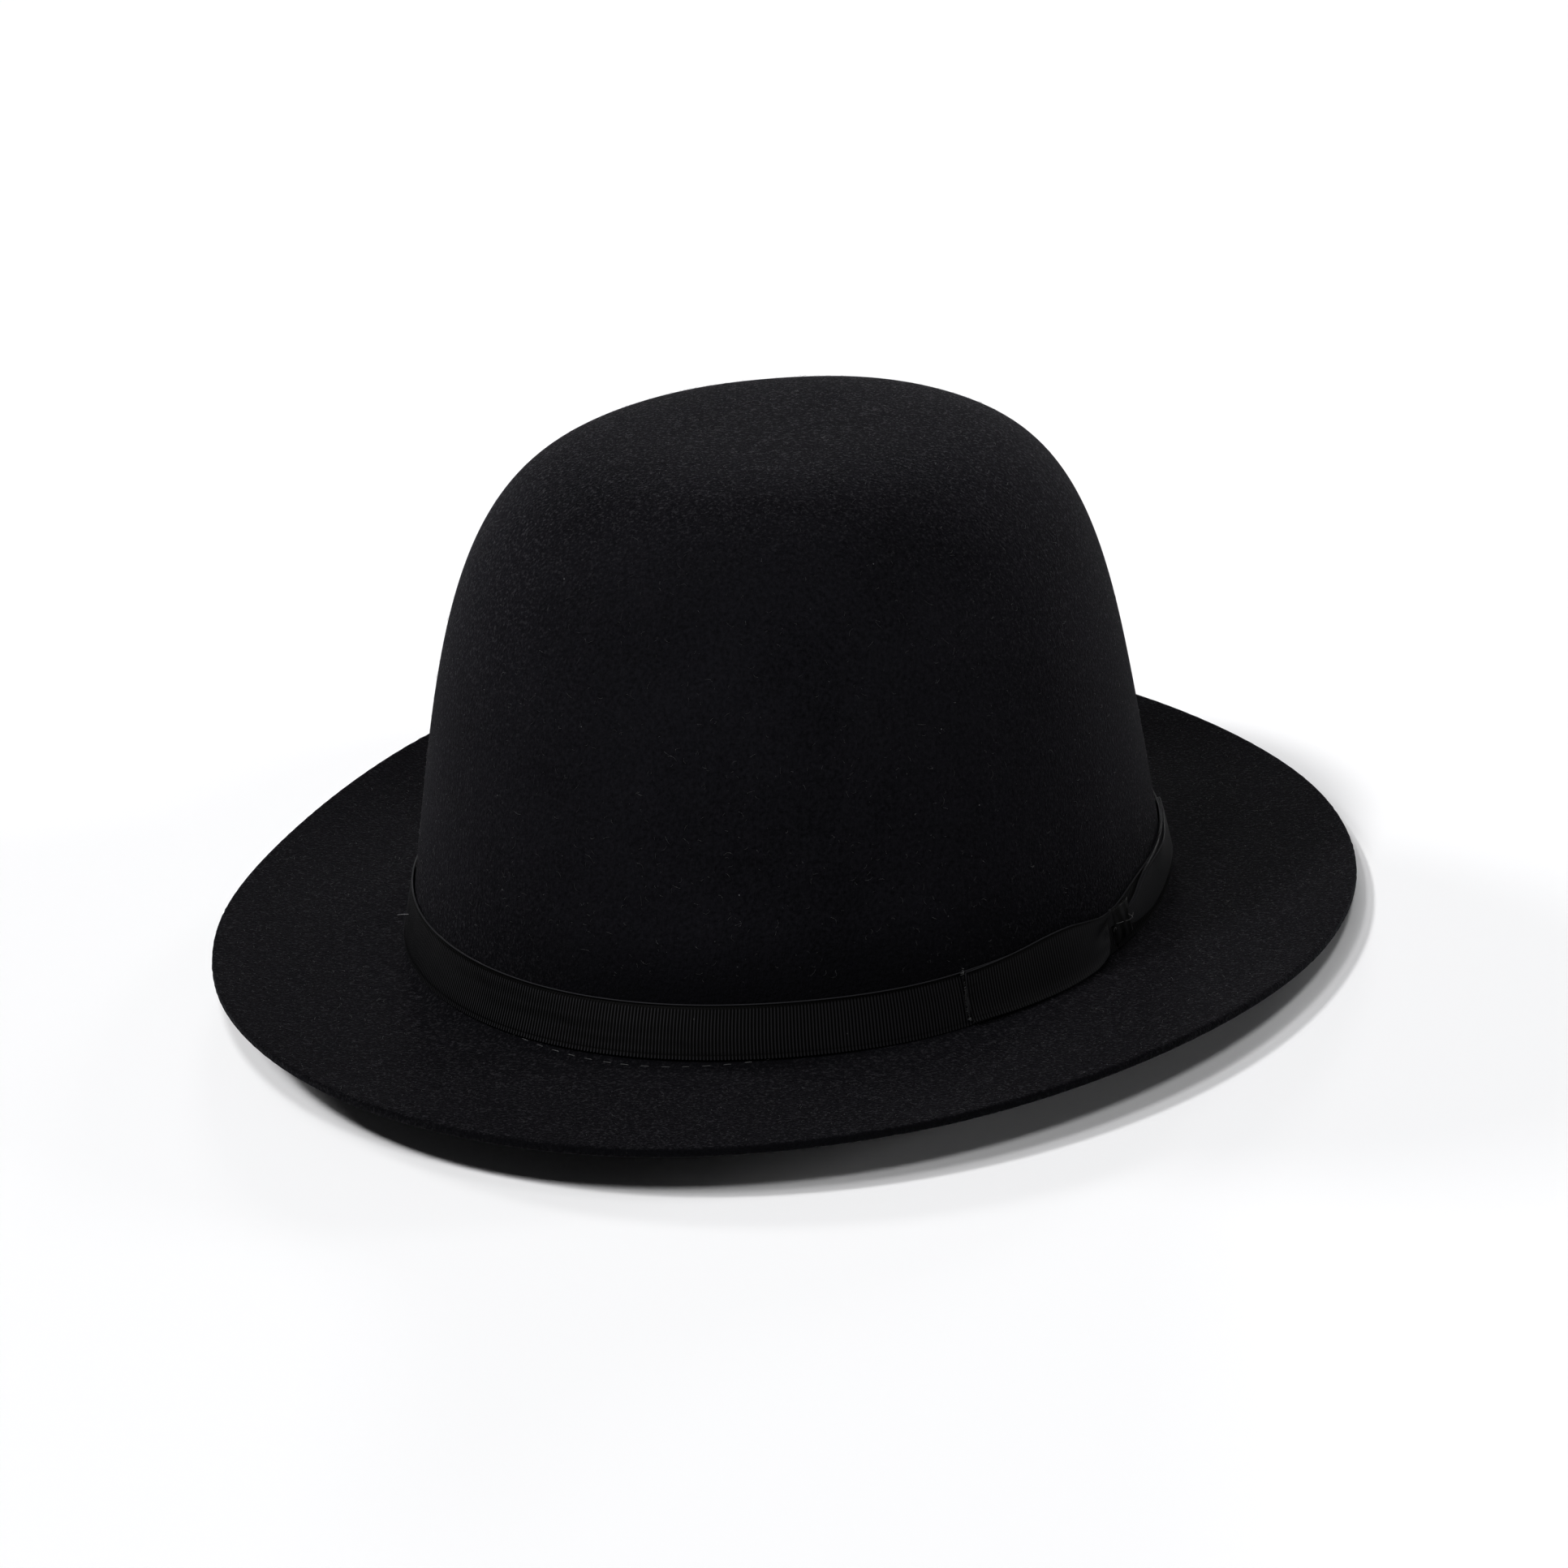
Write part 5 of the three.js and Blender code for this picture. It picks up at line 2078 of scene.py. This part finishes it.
@dataclass
class SmallBow:
    """Narrow ribbon bow over the joint of the sweatband: two flat loops and a knot."""

    form: HatForm
    wardrobe: Wardrobe
    ground: float
    width: float = 5.0
    thickness: float = 0.3
    height: float = 12.0
    length: float = 13.0
    bulge: float = 1.2
    rise: float = 3.0
    fold: float = 0.6
    knot_width: float = 3.5

    @property
    def low(self) -> float:
        """Height of the loops' inner layer over the leather."""
        return self.form.fit + self.thickness / 2

    @property
    def high(self) -> float:
        """Height of the loops' outer layer over the leather."""
        return self.low + self.thickness + self.form.fit

    def place(self, along: Floats, off: Floats, share: Floats, side: Side) -> Floats:
        """Point on the leather's face at a distance from the joint, off the leather, across the ribbon.

        Args:
            along: Distance from the joint.
            off: Distance off the leather.
            share: Share of the width.
            side: Side of the joint.

        Returns:
            The points.
        """
        phi = angles_along(
            lambda angle: self.form.under(self.form.zone_at(self.height, angle), angle, self.ground),
            BACK, along.ravel(), side,
        ).reshape(along.shape)
        zone = self.form.zone_at(self.height + self.width * (share - 0.5), phi)
        return self.form.under(zone, phi, self.ground + off)

    def loop(self, name: str, side: Side, node: str) -> Piece:
        """One loop: out along the top, round the fold and back along the leather.

        Args:
            name: Name of the piece.
            side: Side of the joint.
            node: CAD node that it stands for.

        Returns:
            The piece.
        """
        half = self.knot_width / 2 + self.form.fit
        crest = half + self.rise
        top = np.linspace(self.form.fit, self.length, 150)
        bulge = self.low + self.bulge
        off = np.where(
            top < half, self.high,
            np.where(top < crest, mix(self.high, bulge, smooth((top - half) / self.rise)),
                     mix(bulge, self.low + 2 * self.fold, smooth((top - crest) / (self.length - crest)))),
        )
        radius = (off[-1] - self.low) / 2
        turn = np.linspace(0, math.pi, 9)[1:-1]
        fold_u = self.length + self.fold * np.sin(turn)
        fold_off = self.low + radius + radius * np.cos(turn)
        u = np.concatenate([top, fold_u, top[::-3]])
        o = np.concatenate([off, fold_off, np.full(len(top[::-3]), self.low)])
        side_u, side_off = square_to(u, o)
        run = summed(np.hypot(np.diff(u), np.diff(o)))
        rows = np.array([0.0, 0.02, 0.08, 0.14, 0.5, 0.86, 0.92, 0.98, 1.0])[:, None]
        arch = np.abs(np.sin(math.pi * run / 0.45)) ** 0.8
        half_layer = self.thickness / 2
        lift = half_layer - 0.05 * (1 - arch) * smooth(rows / 0.06) * smooth((1 - rows) / 0.06)
        share = 0.5 + (rows - 0.5) * (1 - 0.3 * bell(u, 0.0, 3.2))
        outer = self.place(u + side_u * lift, o + side_off * lift, share, side)
        ends = np.zeros((2, 1))
        inner = self.place(u - side_u * half_layer + ends, o - side_off * half_layer + ends, share[[0, -1]], side)
        surface = shell(outer, inner, False, stacked(run, rows * self.width))
        return dress(surface.build(name, [self.wardrobe.ribbon]), Slot.GROSGRAIN, node)

    def knot(self) -> Piece:
        """The knot: a gathered strap over both loops.

        Returns:
            The piece.
        """
        t, w = np.meshgrid(np.linspace(math.pi, 0, 33), np.linspace(-1, 1, 17))
        cos, sin = np.cos(t), np.clip(np.sin(t), 0, 1)
        reach = 0.5 + (self.form.fit + self.thickness) / self.width
        share = 0.5 + reach * np.sign(cos) * np.abs(cos) ** 0.4
        top = self.high + self.thickness + self.form.fit - self.low
        off = self.low + top * sin**0.4 + 0.06 * np.cos(w * 8.0) * sin**0.3
        along = w * self.knot_width / 2 * (1 - 0.12 * sin)
        outer = self.place(along, off + self.thickness / 2, share, Side.BACKWARD)
        inner = self.place(
            along[::8] * 0.98, off[::8] - self.thickness / 2, 0.5 + (share[::8] - 0.5) * 0.93, Side.BACKWARD
        )
        surface = shell(outer, inner, False, stacked(w * 2, t * 2))
        built = surface.build("sweatband_small_knot", [self.wardrobe.ribbon])
        return dress(built, Slot.GROSGRAIN, "sweatband_bow_knot")


# The studio

# Name, azimuth, elevation, strength and spread
LAMPS = (
    ("main_lamp", -61.0, 50.0, 1.45, 6.0),
    ("second_lamp", -38.0, 52.0, 0.78, 8.0),
    ("front_lamp", 0.0, 50.0, 0.92, 8.0),
    ("overhead_lamp", -30.0, 70.0, 0.22, 14.0),
    ("left_back_lamp", -120.0, 32.0, 0.56, 12.0),
    ("back_lamp", -180.0, 17.0, 0.4, 10.0),
    ("right_lamp", 94.0, 12.0, 0.55, 10.0),
    ("right_back_lamp", 150.0, 12.0, 0.38, 10.0),
)


@dataclass
class Studio:
    """Camera, lamps and floor, as the photo was taken. Lengths are in millimetres and angles in degrees."""

    azimuth: float = 20.3557
    elevation: float = 19.4999
    distance: float = 1035.98
    roll: float = -2.5849
    aside: float = -1.8276
    above: float = 23.7973
    lens: float = 99.97
    fit_centre: tuple[float, float, float] = (0.0044, 0.7606, 3.0)
    floor_roll: float = -1.0
    floor_pitch: float = 2.0
    floor_reach: float = 6.0

    def axes(self) -> tuple[Floats, Floats, Floats]:
        """Right, up and forward of the camera, its roll included.

        Returns:
            Three unit vectors.
        """
        a, e, r = (math.radians(x) for x in (self.azimuth, self.elevation, self.roll))
        forward = np.array([-math.sin(a) * math.cos(e), math.cos(a) * math.cos(e), -math.sin(e)])
        right = np.array([math.cos(a), math.sin(a), 0.0])
        up = np.cross(right, forward)
        return (
            right * math.cos(r) + up * math.sin(r),
            up * math.cos(r) - right * math.sin(r),
            forward,
        )

    def camera(self) -> Piece:
        """The camera at the photo's place.

        Returns:
            The camera.
        """
        right, up, forward = self.axes()
        eye = (-forward * self.distance + right * self.aside + up * self.above + np.array(self.fit_centre)) * MM
        data = bpy.data.cameras.new("photo_camera")
        data.lens = self.lens
        data.sensor_width = 36.0
        data.clip_start, data.clip_end = 0.05, 50.0
        made = bpy.data.objects.new("photo_camera", data)
        turn = Matrix((right, up, -forward)).transposed().to_4x4()
        made.matrix_world = Matrix.Translation(Vector(eye)) @ turn
        bpy.context.scene.collection.objects.link(made)
        bpy.context.scene.camera = made
        return made

    def level_axes(self) -> tuple[Floats, Floats]:
        """Level directions to the camera's right and from the hat towards the camera.

        Returns:
            Two unit vectors.
        """
        right, _, forward = self.axes()
        towards = -np.array([forward[0], forward[1], 0.0])
        across = np.array([right[0], right[1], 0.0])
        return across / np.linalg.norm(across), towards / np.linalg.norm(towards)

    def floor_normal(self) -> Vector:
        """The floor's normal: the photographed hat leans a little on its floor, as its shadow shows.

        Returns:
            Unit vector.
        """
        across, towards = self.level_axes()
        tilt = across * math.tan(math.radians(self.floor_roll)) + towards * math.tan(math.radians(self.floor_pitch))
        return Vector(tilt + UP).normalized()

    def floor(self, lowest: Floats, effects: Effects) -> Piece:
        """A pale floor that touches the hat's lowest points, square to the floor's normal.

        Args:
            lowest: Corners of the felt, in metres.
            effects: Shared shader groups.

        Returns:
            The floor.
        """
        normal = np.array(self.floor_normal())
        level = float((lowest @ normal).min())
        first = unit(np.cross(normal, np.array([0.0, 1.0, 0.0])))
        second = np.cross(normal, first)
        reach = self.floor_reach
        signs = ((-1, -1), (1, -1), (1, 1), (-1, 1))
        corners = [normal * level + first * x * reach + second * y * reach for x, y in signs]
        mesh = bpy.data.meshes.new("pale_floor")
        mesh.from_pydata([tuple(c) for c in corners], [], [(0, 1, 2, 3)])
        if mesh.polygons[0].normal.z < 0:
            mesh.flip_normals()
        made = bpy.data.objects.new("pale_floor", mesh)
        bpy.context.scene.collection.objects.link(made)
        mesh.materials.append(PaperFinish().material(effects))
        return made

    def lamp(self, name: str, azimuth: float, elevation: float, strength: float, spread: float) -> None:
        """A far lamp. Its azimuth is round from behind the camera, to the right, and its spread softens shadows.

        Args:
            name: Name of the lamp.
            azimuth: Its azimuth.
            elevation: Its elevation.
            strength: Watts per square metre.
            spread: Angle that it fills.
        """
        data = bpy.data.lights.new(name, "SUN")
        data.energy = strength
        data.angle = math.radians(spread)
        made = bpy.data.objects.new(name, data)
        across, level = self.level_axes()
        a, e = math.radians(azimuth), math.radians(elevation)
        towards = (level * math.cos(a) + across * math.sin(a)) * math.cos(e) + UP * math.sin(e)
        made.rotation_mode = "QUATERNION"
        made.rotation_quaternion = Vector(towards).to_track_quat("Z", "Y")
        bpy.context.scene.collection.objects.link(made)

    def light(self) -> None:
        """Two lamps from the left, one in front, one high, four low ones at the sides and the back, and a pale sky."""
        for name, *values in LAMPS:
            self.lamp(name, *values)
        world = bpy.data.worlds.new("pale_sky")
        bpy.context.scene.world = world
        world.use_nodes = True
        sheet = Sheet(world.node_tree)
        world.node_tree.nodes.clear()
        sight = sheet.node("LightPath").outputs["Is Camera Ray"]
        soft = sheet.node("Background", {"Color": shade(0.97, 0.98, 1.0), "Strength": 0.04})
        seen = sheet.node("Background", {"Color": shade(1.0, 1.0, 1.0), "Strength": 1.0})
        both = sheet.node("MixShader", {0: sight, 1: soft.outputs[0], 2: seen.outputs[0]})
        out = sheet.node("OutputWorld")
        sheet.join(out.inputs["Surface"], both.outputs[0])
        bpy.context.scene.view_settings.view_transform = "Standard"


def main() -> None:
    """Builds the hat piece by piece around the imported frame."""
    logging.basicConfig(level=logging.INFO, format="%(name)s: %(message)s")
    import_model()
    studio = Studio()
    studio.camera()
    form = HatForm()
    effects = make_effects()
    wardrobe = Wardrobe(effects)

    felt = FeltBody(form, wardrobe)
    body = felt.build()
    felt.hairs()
    corners = np.empty(len(body.data.vertices) * 3, dtype=np.float32)
    body.data.vertices.foreach_get("co", corners)
    studio.floor(corners.reshape(-1, 3).astype(float), effects)
    studio.light()

    ribbon = RibbonForm(form)
    HatBand(ribbon, wardrobe).build()
    bow = SideBow(ribbon, wardrobe)
    inside = Inside(form, wardrobe)
    for build in (
        bow.tail, bow.loop, bow.knot, bow.threads, bow.frays, bow.loose_fibre, inside.sweatband, inside.reed,
        inside.reed_tape, inside.joint_tape, inside.joint_stitches, inside.lining_side, inside.lining_tip,
        inside.lining_piping,
    ):
        build()
    small = SmallBow(form, wardrobe, inside.leather_depth + inside.leather)
    small.loop("sweatband_small_left_loop", Side.FORWARD, "sweatband_bow_left_loop")
    small.loop("sweatband_small_right_loop", Side.BACKWARD, "sweatband_bow_right_loop")
    small.knot()

    def beside_ribbon(phi: Floats) -> Floats:
        """Zone of the stitches: past the ribbon's foot at the front, under the ribbon elsewhere.

        Args:
            phi: Angle.

        Returns:
            The zone.
        """
        radius = form.break_radius(phi)
        bend = np.arcsin(np.clip(1 - ribbon.foot / radius, 0, 1))
        past = np.abs((phi - STITCH_MIDDLE + math.pi) % TURN - math.pi) / STITCH_SPAN
        peep = -0.5 + 2.3 * (1 - smooth(past))
        return form.zone_out(radius * (1 - np.cos(bend)) + peep, phi)

    Stitches(form, wardrobe).row(beside_ribbon)


if __name__ == "__main__":
    main()
